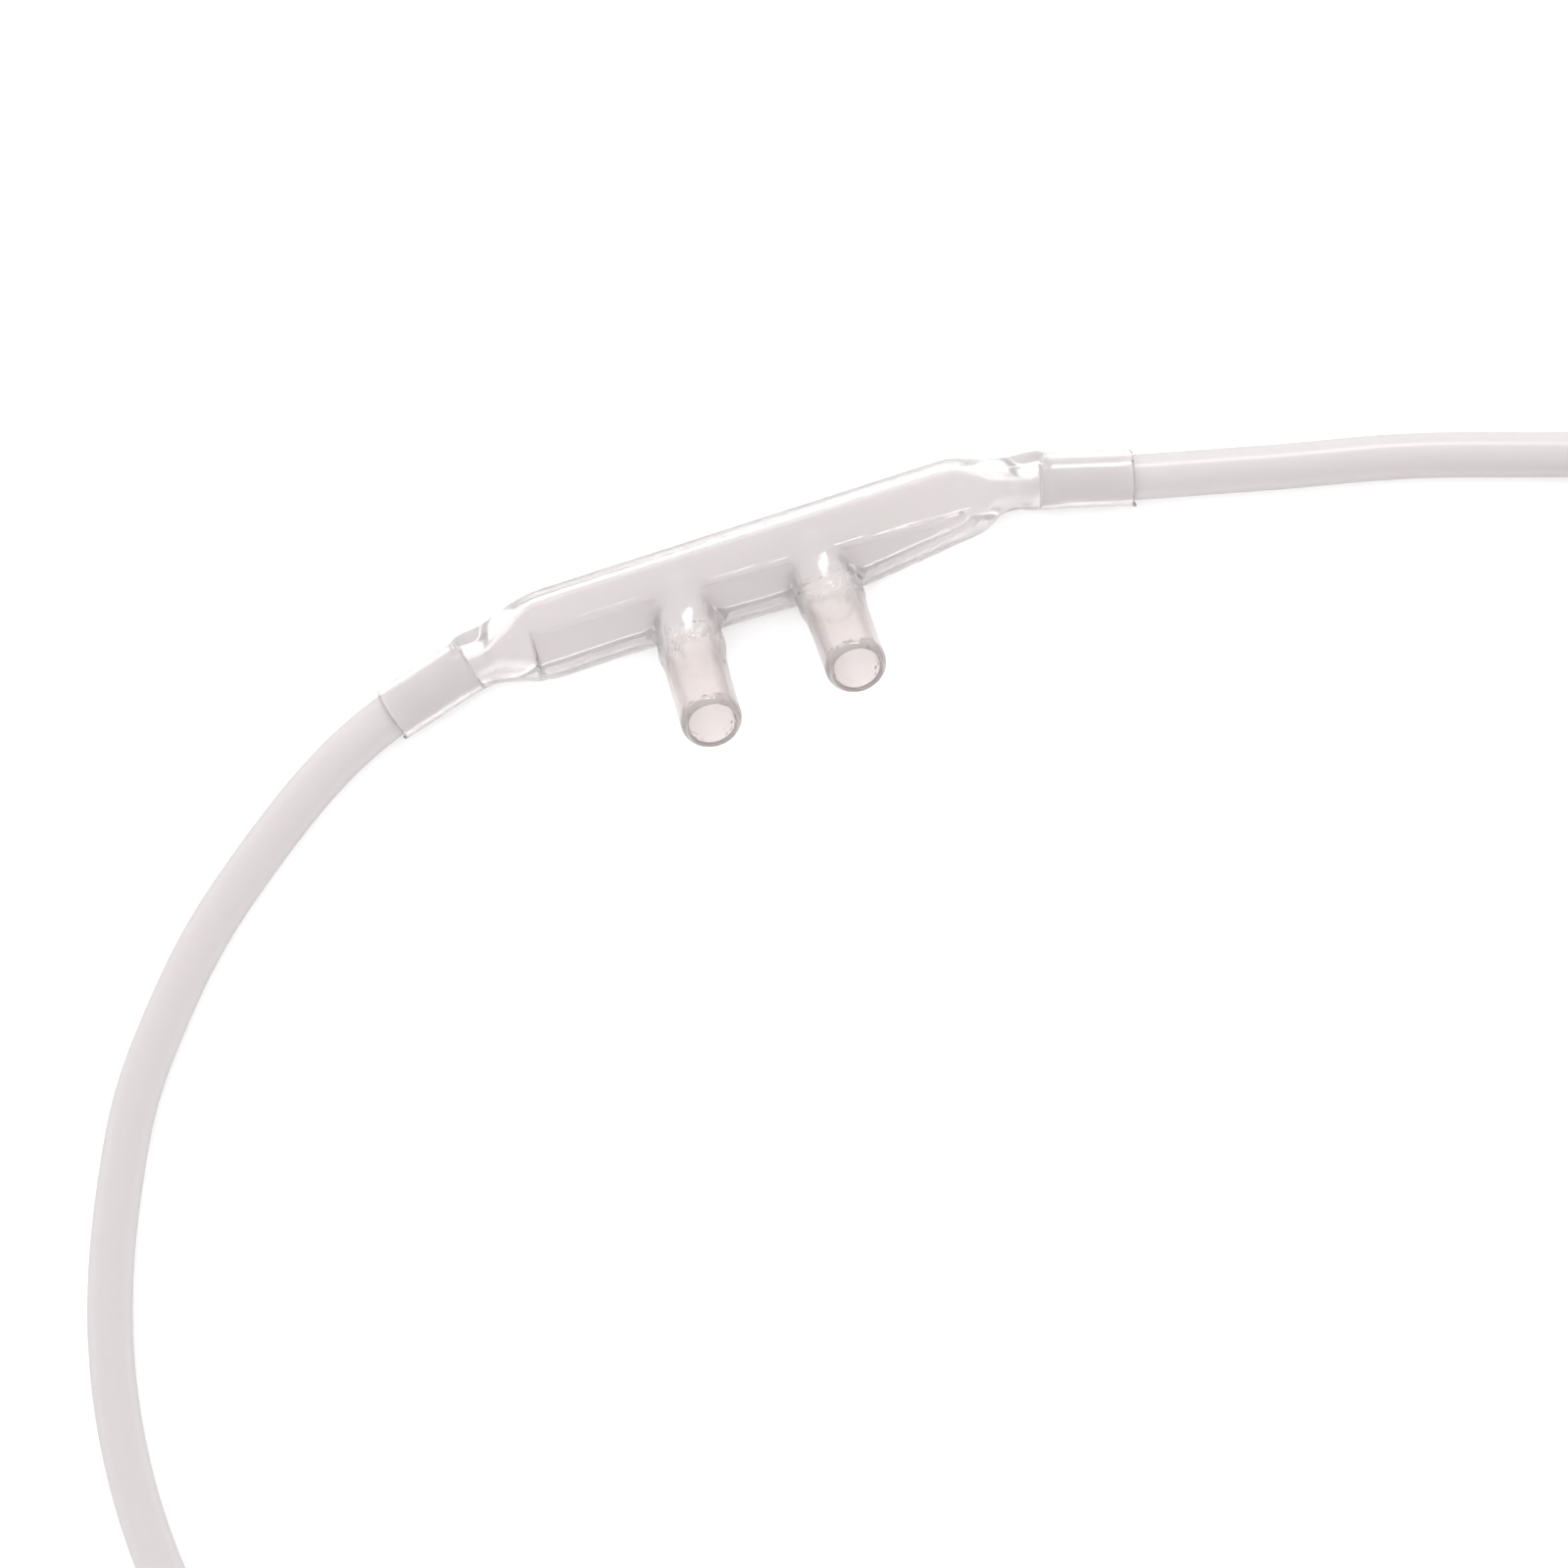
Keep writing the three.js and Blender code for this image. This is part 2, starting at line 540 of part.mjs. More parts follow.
const headset = new THREE.Group();
addPiece(headset, "left_headset_tube", tube(leftRoute, HEADSET_OD, [sleeveSeat(-1)]), clearPvc(0.7));
addPiece(headset, "right_headset_tube", tube(rightRoute, HEADSET_OD, [sleeveSeat(1)]), clearPvc(0.7));
addPiece(headset, "left_headset_tube_end", tube(leftTail, HEADSET_OD, [pairSeat(leftAside)]), clearPvc(0.7));
addPiece(headset, "right_headset_tube_end", tube(rightTail, HEADSET_OD, [pairSeat(rightAside)]), clearPvc(0.7));
cannula.add(headset);

const fittings = new THREE.Group();
fittings.applyMatrix4(lineFrame);
addPiece(fittings, "slide_adjuster", slideAdjuster(), white());
const yPiece = addPiece(fittings, "y_connector", yConnector(), clearPvc(0.6));
yPiece.position.set(0, yStart, 0);
cannula.add(fittings);

const supply = new THREE.Group();
addPiece(supply, "supply_tube", tube(supplyStart, SUPPLY_OD, [supplySeat]), clearPvc(0.7));
addPiece(supply, "supply_tube_end", tube(supplyEnd, SUPPLY_OD, [funnelSeat]), clearPvc(0.7));
const funnel = addPiece(supply, "end_connector", endConnector(), clearPvc(0.6));
funnel.position.copy(funnelBack);
funnel.quaternion.setFromUnitVectors(vector(0, 1, 0), funnelDirection);
cannula.add(supply);

// The coils stand on the same centre, one on the other, and turn from the lathe's Y axis to Z.
const coils = new THREE.Group();
coils.position.set(COIL_X, COIL_Y, 0);
const headsetRing = coilRing(HEADSET_COIL_IN, HEADSET_COIL_OUT, headsetCoilHeight, headsetR);
const headsetCoil = addPiece(coils, "headset_coil", headsetRing, clearPvc(0.7));
headsetCoil.rotation.x = Math.PI / 2;
headsetCoil.position.z = coilBase;
const supplyRing = coilRing(SUPPLY_COIL_IN, supplyCoilOut, supplyCoilHeight, supplyR);
const supplyCoil = addPiece(coils, "supply_coil", supplyRing, clearPvc(0.7));
supplyCoil.rotation.x = Math.PI / 2;
supplyCoil.position.z = supplyCoilBase;
const tie = addPiece(coils, "coil_tie", tieBand(), white());
const tieTurn = THREE.MathUtils.degToRad(TIE_ANGLE);
tie.quaternion.setFromRotationMatrix(
  new THREE.Matrix4().makeBasis(
    vector(Math.cos(tieTurn), Math.sin(tieTurn), 0),
    vector(0, 0, 1),
    vector(Math.sin(tieTurn), -Math.cos(tieTurn), 0),
  ),
);
tie.position.set(
  (-TIE_WIDTH / 2) * Math.sin(tieTurn),
  (TIE_WIDTH / 2) * Math.cos(tieTurn),
  0,
);
cannula.add(coils);

export default cannula;
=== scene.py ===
# %% [markdown]
# # A nasal oxygen cannula
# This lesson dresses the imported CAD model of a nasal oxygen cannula: a soft clear facepiece with two
# curved prongs, two thin headset tubes, a slide adjuster, a Y connector and a supply tube with a funnel.
# The CAD model is loaded first and stays where it is. Every piece below goes where the CAD says.

import math

import bpy
import numpy as np
from mathutils import Matrix, Vector


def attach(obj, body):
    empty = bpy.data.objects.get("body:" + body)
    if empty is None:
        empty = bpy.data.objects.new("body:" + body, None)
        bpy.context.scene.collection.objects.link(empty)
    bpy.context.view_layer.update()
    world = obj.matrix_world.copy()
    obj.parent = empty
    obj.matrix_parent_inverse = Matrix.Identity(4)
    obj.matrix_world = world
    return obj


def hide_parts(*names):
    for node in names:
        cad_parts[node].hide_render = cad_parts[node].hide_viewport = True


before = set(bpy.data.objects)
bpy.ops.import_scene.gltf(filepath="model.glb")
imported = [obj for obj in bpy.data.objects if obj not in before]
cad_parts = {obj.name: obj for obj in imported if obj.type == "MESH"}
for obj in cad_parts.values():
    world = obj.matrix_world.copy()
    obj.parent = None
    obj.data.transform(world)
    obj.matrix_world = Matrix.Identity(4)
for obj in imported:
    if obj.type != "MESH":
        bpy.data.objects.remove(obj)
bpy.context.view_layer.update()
print("CAD nodes:", ", ".join(sorted(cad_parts)))

# %% [markdown]
# ## Sizes
# These are the sizes of the CAD model, in millimetres, written once. The origin is the middle of the
# facepiece's flat back, X runs along the facepiece and the prongs point towards -Y and up.

# %% Sizes in millimetres
MM = 0.001
HEADSET_OD = 4.2
HEADSET_BORE = 2.8
SUPPLY_OD = 5.0
SUPPLY_BORE = 3.4
TUBE_SEAT = 8.6
Y_SOCKET = 7.0
FUNNEL_SOCKET = 12.0
COIL_CENTRE = (97.0, -82.0)
FIRST_LAYER = 2.9
SECOND_LAYER = 7.1
SLEEVE_DROOP = math.radians(15.4)
SLEEVE_ROOT = 27.0
SLEEVE_REACH = 36.1
SLEEVE_Z = 2.6
LINE_HEADING = math.radians(120)
LINE_RADIUS = 37.4
LINE_START = -5.0
FITTING_Z = 3.52
PAIR_ASIDE = 2.8
Y_END = 32.0
FUNNEL_X = 124.0
FUNNEL_Y = -82.0
FUNNEL_Z = 29.7
FUNNEL_LENGTH = 38.0

# %% [markdown]
# ## The camera
# The photograph looks straight down on the facepiece, from far enough for almost no perspective, and
# is turned so that the facepiece rises to the right. A 100 mm lens at about 0.4 m gives 11 pixels to
# the millimetre on the picture's 1600 pixels, as measured on the facepiece.

# %% Make the camera
PICTURE_TURN = math.radians(-17.8)
CAMERA_PLACE = (-0.0034, -0.0197, 0.4065)


def make_camera():
    lens = bpy.data.cameras.new("camera")
    lens.lens = 100
    lens.sensor_width = 36
    camera = bpy.data.objects.new("camera", lens)
    camera.location = CAMERA_PLACE
    camera.rotation_euler = (0, 0, PICTURE_TURN)
    bpy.context.scene.collection.objects.link(camera)
    bpy.context.scene.camera = camera
    return camera


camera = make_camera()
print("camera", [round(c, 4) for c in camera.location])

# %% [markdown]
# ## Small helpers
# Colours are written as sRGB hex values, the way that a colour picker shows them, and one function
# turns them to the linear values that a shader works with. One function adds a node, with its
# settings and links, to a material or to a Geometry Nodes tree.


# %% Colours and nodes
def colour(hex_value):
    parts = [int(hex_value[i : i + 2], 16) / 255 for i in (1, 3, 5)]
    linear = [p / 12.92 if p <= 0.04045 else ((p + 0.055) / 1.055) ** 2.4 for p in parts]
    return (*linear, 1.0)


def add_node(tree, kind, settings=None, links=None):
    node = tree.nodes.new(kind)
    for name, value in (settings or {}).items():
        if isinstance(name, int) or name in node.inputs:
            node.inputs[name].default_value = value
        else:
            setattr(node, name, value)
    for name, source in (links or {}).items():
        tree.links.new(source, node.inputs[name])
    return node


# %% [markdown]
# ## Clear soft PVC
# The facepiece, the fittings and the tubes are plasticised PVC, which is clear but a little milky.
# The tubes are extruded and carry a fine haze, so about half of their light is scattered; the
# moulded facepiece is glossier, and four fifths of the light go straight through it.
# At the outline a Layer Weight node takes the tint to a darker one: partly the longer way light has
# through a wall seen edge on, partly painted shade, since it darkens the milky scattered share too.


# %% Clear PVC
# Painted shade on the prongs: their tint turns darker along Y towards the tips, between these two
# places.
SHADED_TIPS_FROM = -3.5  # the prongs' slightly darker tint begins here on Y, in mm
SHADED_TIPS_FULL = -6.0  # and is complete here
# The painted shade at the outlines: how fast it comes on, and the darker tint it goes to.
PAINTED_EDGE_SHADE_POWER = 4.0
PAINTED_EDGE_SHADE_TINT = "#A39897"


def clear_pvc(name, tint, roughness, clearness, haze_mm, haze_depth, tip_shade_tint=None):
    material = bpy.data.materials.new(name)
    material.use_nodes = True
    tree = material.node_tree
    tree.nodes.clear()
    place = add_node(tree, "ShaderNodeTexCoord")
    haze = add_node(
        tree,
        "ShaderNodeTexNoise",
        {"Scale": 1 / (haze_mm * MM), "Detail": 3.0, "Roughness": 0.6},
        {"Vector": place.outputs["Object"]},
    )
    bump = add_node(
        tree,
        "ShaderNodeBump",
        {"Strength": 1.0, "Distance": haze_depth * MM},
        {"Height": haze.outputs["Fac"]},
    )
    shader = add_node(
        tree,
        "ShaderNodeBsdfPrincipled",
        {
            "IOR": 1.53,
            "Metallic": 0.0,
            "Roughness": roughness,
            "Transmission Weight": clearness,
        },
        {"Normal": bump.outputs["Normal"]},
    )
    # Painted shade: a mask along Y takes the tint to the darker prong tint towards the tips.
    split = add_node(tree, "ShaderNodeSeparateXYZ", {}, {"Vector": place.outputs["Object"]})
    reach = add_node(
        tree,
        "ShaderNodeMapRange",
        {"From Min": SHADED_TIPS_FROM * MM, "From Max": SHADED_TIPS_FULL * MM},
        {"Value": split.outputs["Y"]},
    )
    tint_with_tip_shade = add_node(
        tree,
        "ShaderNodeMix",
        {"data_type": "RGBA", 6: colour(tint), 7: colour(tip_shade_tint or tint)},
        {"Factor": reach.outputs["Result"]},
    )
    # Painted shade: the tint turns darker where the surface is seen edge on, on the scattered share as
    # well as the clear one.
    edge = add_node(tree, "ShaderNodeLayerWeight", {"Blend": 0.5})
    thin = add_node(
        tree, "ShaderNodeMath", {"operation": "POWER", 1: PAINTED_EDGE_SHADE_POWER}, {0: edge.outputs["Facing"]}
    )
    through = add_node(
        tree,
        "ShaderNodeMix",
        {"data_type": "RGBA", 7: colour(PAINTED_EDGE_SHADE_TINT)},
        {"Factor": thin.outputs[0], 6: tint_with_tip_shade.outputs[2]},
    )
    tree.links.new(through.outputs[2], shader.inputs["Base Color"])
    add_node(tree, "ShaderNodeOutputMaterial", {}, {"Surface": shader.outputs[0]})
    return material


tube_pvc = clear_pvc("extruded_soft_pvc", "#D7D1D2", 0.28, 0.45, 0.8, 0.004)
supply_pvc = clear_pvc("extruded_supply_pvc", "#DAD9D7", 0.28, 0.5, 0.8, 0.004)


# %% [markdown]
# ## The tubes' routes
# A soft tube lies on the surface in one smooth curve. The left and right headset tubes leave the
# facepiece's sleeves, run out of the picture and are wound once or twice round the coil before they
# pass the slide adjuster and end in the Y connector. The supply tube is wound on top of them.
# Each route is a list of points, and a cubic spline through them has no kinks in its curvature.


# %% Places that the routes use
def around(radius, degrees, z):
    angle = math.radians(degrees)
    return (
        COIL_CENTRE[0] + radius * math.cos(angle),
        COIL_CENTRE[1] + radius * math.sin(angle),
        z,
    )


def on_line(along, aside, z):
    foot = around(LINE_RADIUS, math.degrees(LINE_HEADING) - 90, 0)
    run = LINE_START + along
    return (
        foot[0] + run * math.cos(LINE_HEADING) + aside * math.sin(LINE_HEADING),
        foot[1] + run * math.sin(LINE_HEADING) - aside * math.cos(LINE_HEADING),
        z,
    )


def in_sleeve(side, distance):
    reach = (SLEEVE_REACH - SLEEVE_ROOT) / math.cos(SLEEVE_DROOP) + distance
    return (
        side * (SLEEVE_ROOT + reach * math.cos(SLEEVE_DROOP)),
        -reach * math.sin(SLEEVE_DROOP),
        SLEEVE_Z,
    )


def on_funnel(along):
    return (FUNNEL_X, FUNNEL_Y + along, FUNNEL_Z)


def at_height(points, z):
    return [(x, y, z) for x, y in points]


def smooth_line(points, step):
    """The points of a cubic spline through the given ones, one every step."""
    knots = np.array(points, float)
    gaps = np.linalg.norm(np.diff(knots, axis=0), axis=1)
    at = np.concatenate([[0.0], np.cumsum(gaps)])
    count = len(knots)
    system = np.eye(count)
    wanted = np.zeros_like(knots)
    for i in range(1, count - 1):
        system[i, i - 1 : i + 2] = gaps[i - 1], 2 * (gaps[i - 1] + gaps[i]), gaps[i]
        wanted[i] = 6 * ((knots[i + 1] - knots[i]) / gaps[i] - (knots[i] - knots[i - 1]) / gaps[i - 1])
    bend = np.linalg.solve(system, wanted)
    places = np.linspace(0, at[-1], int(at[-1] / step) + 1)
    k = np.clip(np.searchsorted(at, places, side="right") - 1, 0, count - 2)
    h = gaps[k][:, None]
    a = (at[k + 1] - places)[:, None]
    b = (places - at[k])[:, None]
    return (
        (bend[k] * a**3 + bend[k + 1] * b**3) / (6 * h)
        + (knots[k] / h - bend[k] * h / 6) * a
        + (knots[k + 1] / h - bend[k + 1] * h / 6) * b
    )


def ease(value, start, end):
    """0 before start, 1 after end, and a smooth S between them."""
    t = min(max((value - start) / (end - start), 0.0), 1.0)
    return t * t * (3 - 2 * t)


# %% The left headset tube: its last turn climbs to the coil's second layer
def left_winding():
    points = []
    for turned in range(286, 656, 12):
        radius = 29.1 - 4.2 * (min(turned, 500) - 280) / 360 + 3.9 * (1 - ease(turned, 274, 325))
        height = FIRST_LAYER + (SECOND_LAYER - FIRST_LAYER) * ease(turned, 462, 502)
        points.append(around(radius, turned, height))
    return points


LEFT_ROUTE = [
    in_sleeve(-1, -TUBE_SEAT),
    in_sleeve(-1, -TUBE_SEAT / 2),
    in_sleeve(-1, 0.5),
    (-44.7, -6.4, 2.3),
    *at_height(
        [
            (-52.4, -11.6), (-59.1, -17), (-64.7, -22.9), (-69.5, -29), (-73.1, -35.5),
            (-76.1, -42.1), (-78.5, -49), (-80.1, -56.1), (-80.9, -63.6), (-80.8, -71.2),
            (-79.2, -79.5), (-75, -87), (-68.3, -92.4), (-60, -95.6), (-45, -99.2), (-25, -103.8),
            (-5, -108.3), (15, -112.6), (33, -116.4), (45, -118.3), (60, -118.4),
        ],
        2.1,
    ),
    (80, -114.9, 2.4),
    around(33.0, 274, FIRST_LAYER),
    *left_winding(),
    around(34.5, 695, 5.9),
    around(37.9, 711, 4.8),
    around(40.5, 726, 4.0),
    on_line(-3, PAIR_ASIDE, FITTING_Z + 0.1),
    on_line(-0.5, PAIR_ASIDE, FITTING_Z),
    on_line(9, PAIR_ASIDE, FITTING_Z),
    on_line(18, PAIR_ASIDE, FITTING_Z),
]


# %% The right headset tube: two turns inwards, then half a turn on the second layer
def right_winding():
    points = []
    for turned in range(139, 1024, 12):
        spiral = 26.4 - 4.2 * (min(turned, 850) - 150) / 360
        radius = spiral + 6.33 * (1 - ease(turned, 127, 165)) + 4.1 * ease(turned, 885, 945)
        height = FIRST_LAYER + (SECOND_LAYER - FIRST_LAYER) * ease(turned, 848, 888)
        points.append(around(radius, turned, height))
    return points


RIGHT_ROUTE = [
    in_sleeve(1, -TUBE_SEAT),
    in_sleeve(1, -TUBE_SEAT / 2),
    in_sleeve(1, 0.5),
    (43.5, -4.3, 2.3),
    *at_height(
        [
            (50.6, -6), (57.8, -7.6), (64.8, -9.5), (71.7, -11.7), (79, -14.1), (86, -17.1),
            (92.4, -21.7), (96.4, -28.4), (96.2, -36), (92.2, -43.2), (86.6, -50.2),
        ],
        2.1,
    ),
    around(33.0, 127, FIRST_LAYER),
    *right_winding(),
    around(33.1, 1072, 5.2),
    around(35.3, 1086, 4.2),
    on_line(-3, -PAIR_ASIDE, FITTING_Z + 0.1),
    on_line(-0.5, -PAIR_ASIDE, FITTING_Z),
    on_line(9, -PAIR_ASIDE, FITTING_Z),
    on_line(18, -PAIR_ASIDE, FITTING_Z),
]

# %% [markdown]
# ## The supply tube's coil
# A neat coil is wound ring by ring: a ring keeps its radius for most of a turn and then shifts by one
# diameter. At the end of a layer the tube climbs on the layer below. The keys below say at which
# angle each shift or climb starts and ends, so that no two turns ever share a place.

# %% The supply tube: four rings in three layers
SUPPLY_SHIFTS = [
    (430, 540, -5), (790, 900, -5), (1150, 1260, -5),
    (1750, 1810, 5), (2110, 2170, 5), (2470, 2530, 5),
    (2980, 3040, -5), (3340, 3400, -5), (3700, 3760, -5),
]
SUPPLY_CLIMBS = [(1450, 1510, 5), (2680, 2740, 5), (3800, 3845, 5.3)]


def supply_winding():
    points = []
    for turned in range(139, 3846, 15):
        radius = 35 + 5.3 * (1 - ease(turned, 124, 188))
        radius += sum(move * ease(turned, start, end) for start, end, move in SUPPLY_SHIFTS)
        height = 12 + sum(rise * ease(turned, start, end) for start, end, rise in SUPPLY_CLIMBS)
        points.append(around(radius, turned, height))
    return points


SUPPLY_ROUTE = [
    on_line(Y_END - Y_SOCKET, 0, FITTING_Z),
    on_line(Y_END - 3, 0, FITTING_Z),
    on_line(Y_END + 0.5, 0, FITTING_Z),
    (112, -34.5, 4.22),
    (105.5, -31, 5.72),
    (97.5, -31.5, 7.52),
    (90, -35.2, 9.22),
    around(41.5, 112, 11.3),
    around(40.3, 124, 12.0),
    *supply_winding(),
    (93.6, -104.2, 27.4),
    (99.8, -106.5, 27.6),
    (111.5, -110.8, 28.4),
    (120.4, -110.8, 29.3),
    (123.4, -107.0, 29.6),
    on_funnel(-FUNNEL_LENGTH / 2 - 0.5),
    on_funnel(-FUNNEL_LENGTH / 2 + 6),
    on_funnel(-FUNNEL_LENGTH / 2 + FUNNEL_SOCKET),
]

# %% [markdown]
# ## A hollow tube along a path
# An extruded tube is one round section along a path, so a small Geometry Nodes tree sweeps a circle
# along the curve, and a Solidify modifier gives the wall its thickness and closes the two cut ends.
# The bore matters: light bends at the inner wall too, and that is what makes a clear tube read as one.


# %% The Geometry Nodes tree for a tube
def tube_tree():
    tree = bpy.data.node_groups.new("tube_on_path", "GeometryNodeTree")
    sockets = {}
    for name, kind in (
        ("Path", "NodeSocketGeometry"),
        ("Outer diameter", "NodeSocketFloat"),
        ("Sides", "NodeSocketInt"),
        ("Finish", "NodeSocketMaterial"),
    ):
        made = tree.interface.new_socket(name, in_out="INPUT", socket_type=kind)
        sockets[name] = made.identifier
    tree.interface.new_socket("Tube", in_out="OUTPUT", socket_type="NodeSocketGeometry")
    given = add_node(tree, "NodeGroupInput")
    radius = add_node(
        tree, "ShaderNodeMath", {"operation": "MULTIPLY", 1: 0.5}, {0: given.outputs["Outer diameter"]}
    )
    circle = add_node(
        tree,
        "GeometryNodeCurvePrimitiveCircle",
        {},
        {"Resolution": given.outputs["Sides"], "Radius": radius.outputs[0]},
    )
    swept = add_node(
        tree,
        "GeometryNodeCurveToMesh",
        {},
        {"Curve": given.outputs["Path"], "Profile Curve": circle.outputs["Curve"]},
    )
    real = add_node(tree, "GeometryNodeRealizeInstances", {}, {"Geometry": swept.outputs["Mesh"]})
    finished = add_node(
        tree,
        "GeometryNodeSetMaterial",
        {},
        {"Geometry": real.outputs["Geometry"], "Material": given.outputs["Finish"]},
    )
    add_node(tree, "NodeGroupOutput", {}, {"Tube": finished.outputs["Geometry"]})
    return tree, sockets


TUBE_TREE, TUBE_SOCKETS = tube_tree()
print("tube tree inputs:", ", ".join(TUBE_SOCKETS))


# %% Sweep one tube and turn it into a plain mesh
def as_mesh(source, name):
    """The evaluated object as a plain mesh object, with the source removed."""
    graph = bpy.context.evaluated_depsgraph_get()
    mesh = bpy.data.meshes.new_from_object(source.evaluated_get(graph), depsgraph=graph)
    mesh.name = name
    made = bpy.data.objects.new(name, mesh)
    bpy.data.objects.remove(source)
    bpy.context.scene.collection.objects.link(made)
    return made


def sweep_tube(name, line, outer, bore, sides, finish):
    curve = bpy.data.curves.new(name + "_path", "CURVE")
    curve.dimensions = "3D"
    curve.twist_mode = "MINIMUM"
    spline = curve.splines.new("POLY")
    spline.points.add(len(line) - 1)
    spline.points.foreach_set("co", np.c_[line * MM, np.ones(len(line))].ravel())
    source = bpy.data.objects.new(name + "_path", curve)
    bpy.context.scene.collection.objects.link(source)
    sweep = source.modifiers.new("sweep", "NODES")
    sweep.node_group = TUBE_TREE
    sweep[TUBE_SOCKETS["Outer diameter"]] = outer * MM
    sweep[TUBE_SOCKETS["Sides"]] = sides
    sweep[TUBE_SOCKETS["Finish"]] = finish
    wall = source.modifiers.new("wall", "SOLIDIFY")
    wall.thickness = (outer - bore) / 2 * MM
    wall.offset = -1
    made = as_mesh(source, name)
    made.data.polygons.foreach_set("use_smooth", [True] * len(made.data.polygons))
    return made


# %% Sweep the three tubes
def length_of(line):
    return float(np.linalg.norm(np.diff(line, axis=0), axis=1).sum())


left_line = smooth_line(LEFT_ROUTE, 1.0)
right_line = smooth_line(RIGHT_ROUTE, 1.0)
supply_line = smooth_line(SUPPLY_ROUTE, 1.6)
left_tube = sweep_tube("left_headset_line", left_line, HEADSET_OD, HEADSET_BORE, 24, tube_pvc)
right_tube = sweep_tube("right_headset_line", right_line, HEADSET_OD, HEADSET_BORE, 24, tube_pvc)
supply_tube = sweep_tube("supply_line", supply_line, SUPPLY_OD, SUPPLY_BORE, 20, supply_pvc)
for tube, line in ((left_tube, left_line), (right_tube, right_line), (supply_tube, supply_line)):
    print(tube.name, round(length_of(line)), "mm,", len(tube.data.polygons), "faces")

# %% [markdown]
# ## Moulded pieces from a distance field
# The facepiece is one soft moulding in which the bar, the necks, the sleeves and the prongs flow into
# each other. Joining meshes and bevelling their seams rarely survives such blends. A distance field
# does it well: each form is a function that is negative inside, two forms are joined with a smooth
# minimum, and the hollow is cut with a smooth maximum. One function then draws a net of quads over
# the zero surface and pulls each corner onto it, so that even a coarse net is smooth.


# %% Joining and cutting fields
def join(first, second, round_mm):
    near = np.maximum(round_mm - np.abs(first - second), 0) / round_mm
    return np.minimum(first, second) - near * near * round_mm / 4


def keep_both(first, second, round_mm):
    return -join(-first, -second, round_mm)


def cut(body, hollow, round_mm):
    return keep_both(body, -hollow, round_mm)


def rod_field(points, start, end, radius, round_mm=0.3):
    """A round bar with flat ends."""
    start, end = np.array(start, float), np.array(end, float)
    length = np.linalg.norm(end - start)
    along = (points - start) @ ((end - start) / length)
    off = points - start - along[:, None] * ((end - start) / length)
    side = np.sqrt((off * off).sum(1)) - radius
    return keep_both(side, np.abs(along - length / 2) - length / 2, round_mm)


# %% A net of quads over the zero surface of a field
CORNERS = np.array([(i, j, k) for i in (0, 1) for j in (0, 1) for k in (0, 1)])
EDGES = [(a, b) for a in range(8) for b in range(a + 1, 8) if np.abs(CORNERS[a] - CORNERS[b]).sum() == 1]


def slope_of(field, points, reach=0.02):
    """The field's value and its slope at some points."""
    value = field(points)
    slope = np.empty_like(points)
    for axis in range(3):
        shifted = points.copy()
        shifted[:, axis] += reach
        slope[:, axis] = (field(shifted) - value) / reach
    return value, slope


def net_over(field, low, high, step):
    axes = [np.arange(lo, hi + step, step) for lo, hi in zip(low, high)]
    shape = tuple(len(a) for a in axes)
    grid = np.stack(np.meshgrid(*axes, indexing="ij"), -1).reshape(-1, 3)
    values = np.concatenate([field(part) for part in np.array_split(grid, 24)]).reshape(shape)
    inside = values < 0
    cells = tuple(n - 1 for n in shape)
    corner_inside = [
        inside[i : cells[0] + i, j : cells[1] + j, k : cells[2] + k] for i, j, k in CORNERS
    ]
    count = sum(c.astype(np.int8) for c in corner_inside)
    crossed = np.argwhere((count > 0) & (count < 8))
    number = np.full(cells, -1)
    number[tuple(crossed.T)] = np.arange(len(crossed))
    total = np.zeros((len(crossed), 3))
    hits = np.zeros(len(crossed))
    for a, b in EDGES:
        first = values[tuple((crossed + CORNERS[a]).T)]
        second = values[tuple((crossed + CORNERS[b]).T)]
        hit = (first < 0) != (second < 0)
        share = np.where(hit, first / np.where(hit, first - second, 1), 0)
        total += hit[:, None] * (CORNERS[a] + share[:, None] * (CORNERS[b] - CORNERS[a]))
        hits += hit
    points = np.array(low) + (crossed + total / hits[:, None]) * step
    for _ in range(4):
        value, slope = slope_of(field, points)
        move = -value[:, None] * slope / np.maximum((slope * slope).sum(1), 0.05)[:, None]
        points += np.clip(move, -0.4 * step, 0.4 * step)
    quads = []
    for axis in range(3):
        u, v = [a for a in range(3) if a != axis]
        here = np.argwhere(np.diff(inside, axis=axis))
        here = here[(here[:, u] > 0) & (here[:, v] > 0)]
        here = here[(here[:, u] < cells[u]) & (here[:, v] < cells[v])]
        ring = []
        for du, dv in ((1, 1), (0, 1), (0, 0), (1, 0)):
            cell = here.copy()
            cell[:, u] -= du
            cell[:, v] -= dv
            ring.append(number[tuple(cell.T)])
        ring = np.stack(ring, 1)
        leaving = inside[tuple(here.T)]
        flip = leaving == (axis == 1)
        ring[flip] = ring[flip][:, ::-1]
        quads.append(ring)
    return points, np.concatenate(quads)


def moulded(name, field, low, high, step, material, place=None):
    """The field's surface as a smooth mesh object; place moves its points to where the piece lies."""
    points, quads = net_over(field, low, high, step)
    normals = slope_of(field, points)[1]
    normals /= np.linalg.norm(normals, axis=1)[:, None]
    if place is not None:
        turn, origin = place
        points = points @ turn + origin
        normals = normals @ turn
    mesh = bpy.data.meshes.new(name)
    mesh.from_pydata((points * MM).tolist(), [], quads.tolist())
    mesh.polygons.foreach_set("use_smooth", [True] * len(quads))
    mesh.normals_split_custom_set_from_vertices(normals.tolist())
    mesh.materials.append(material)
    piece = bpy.data.objects.new(name, mesh)
    bpy.context.scene.collection.objects.link(piece)
    print(name, len(quads) * 2, "triangles")
    return piece


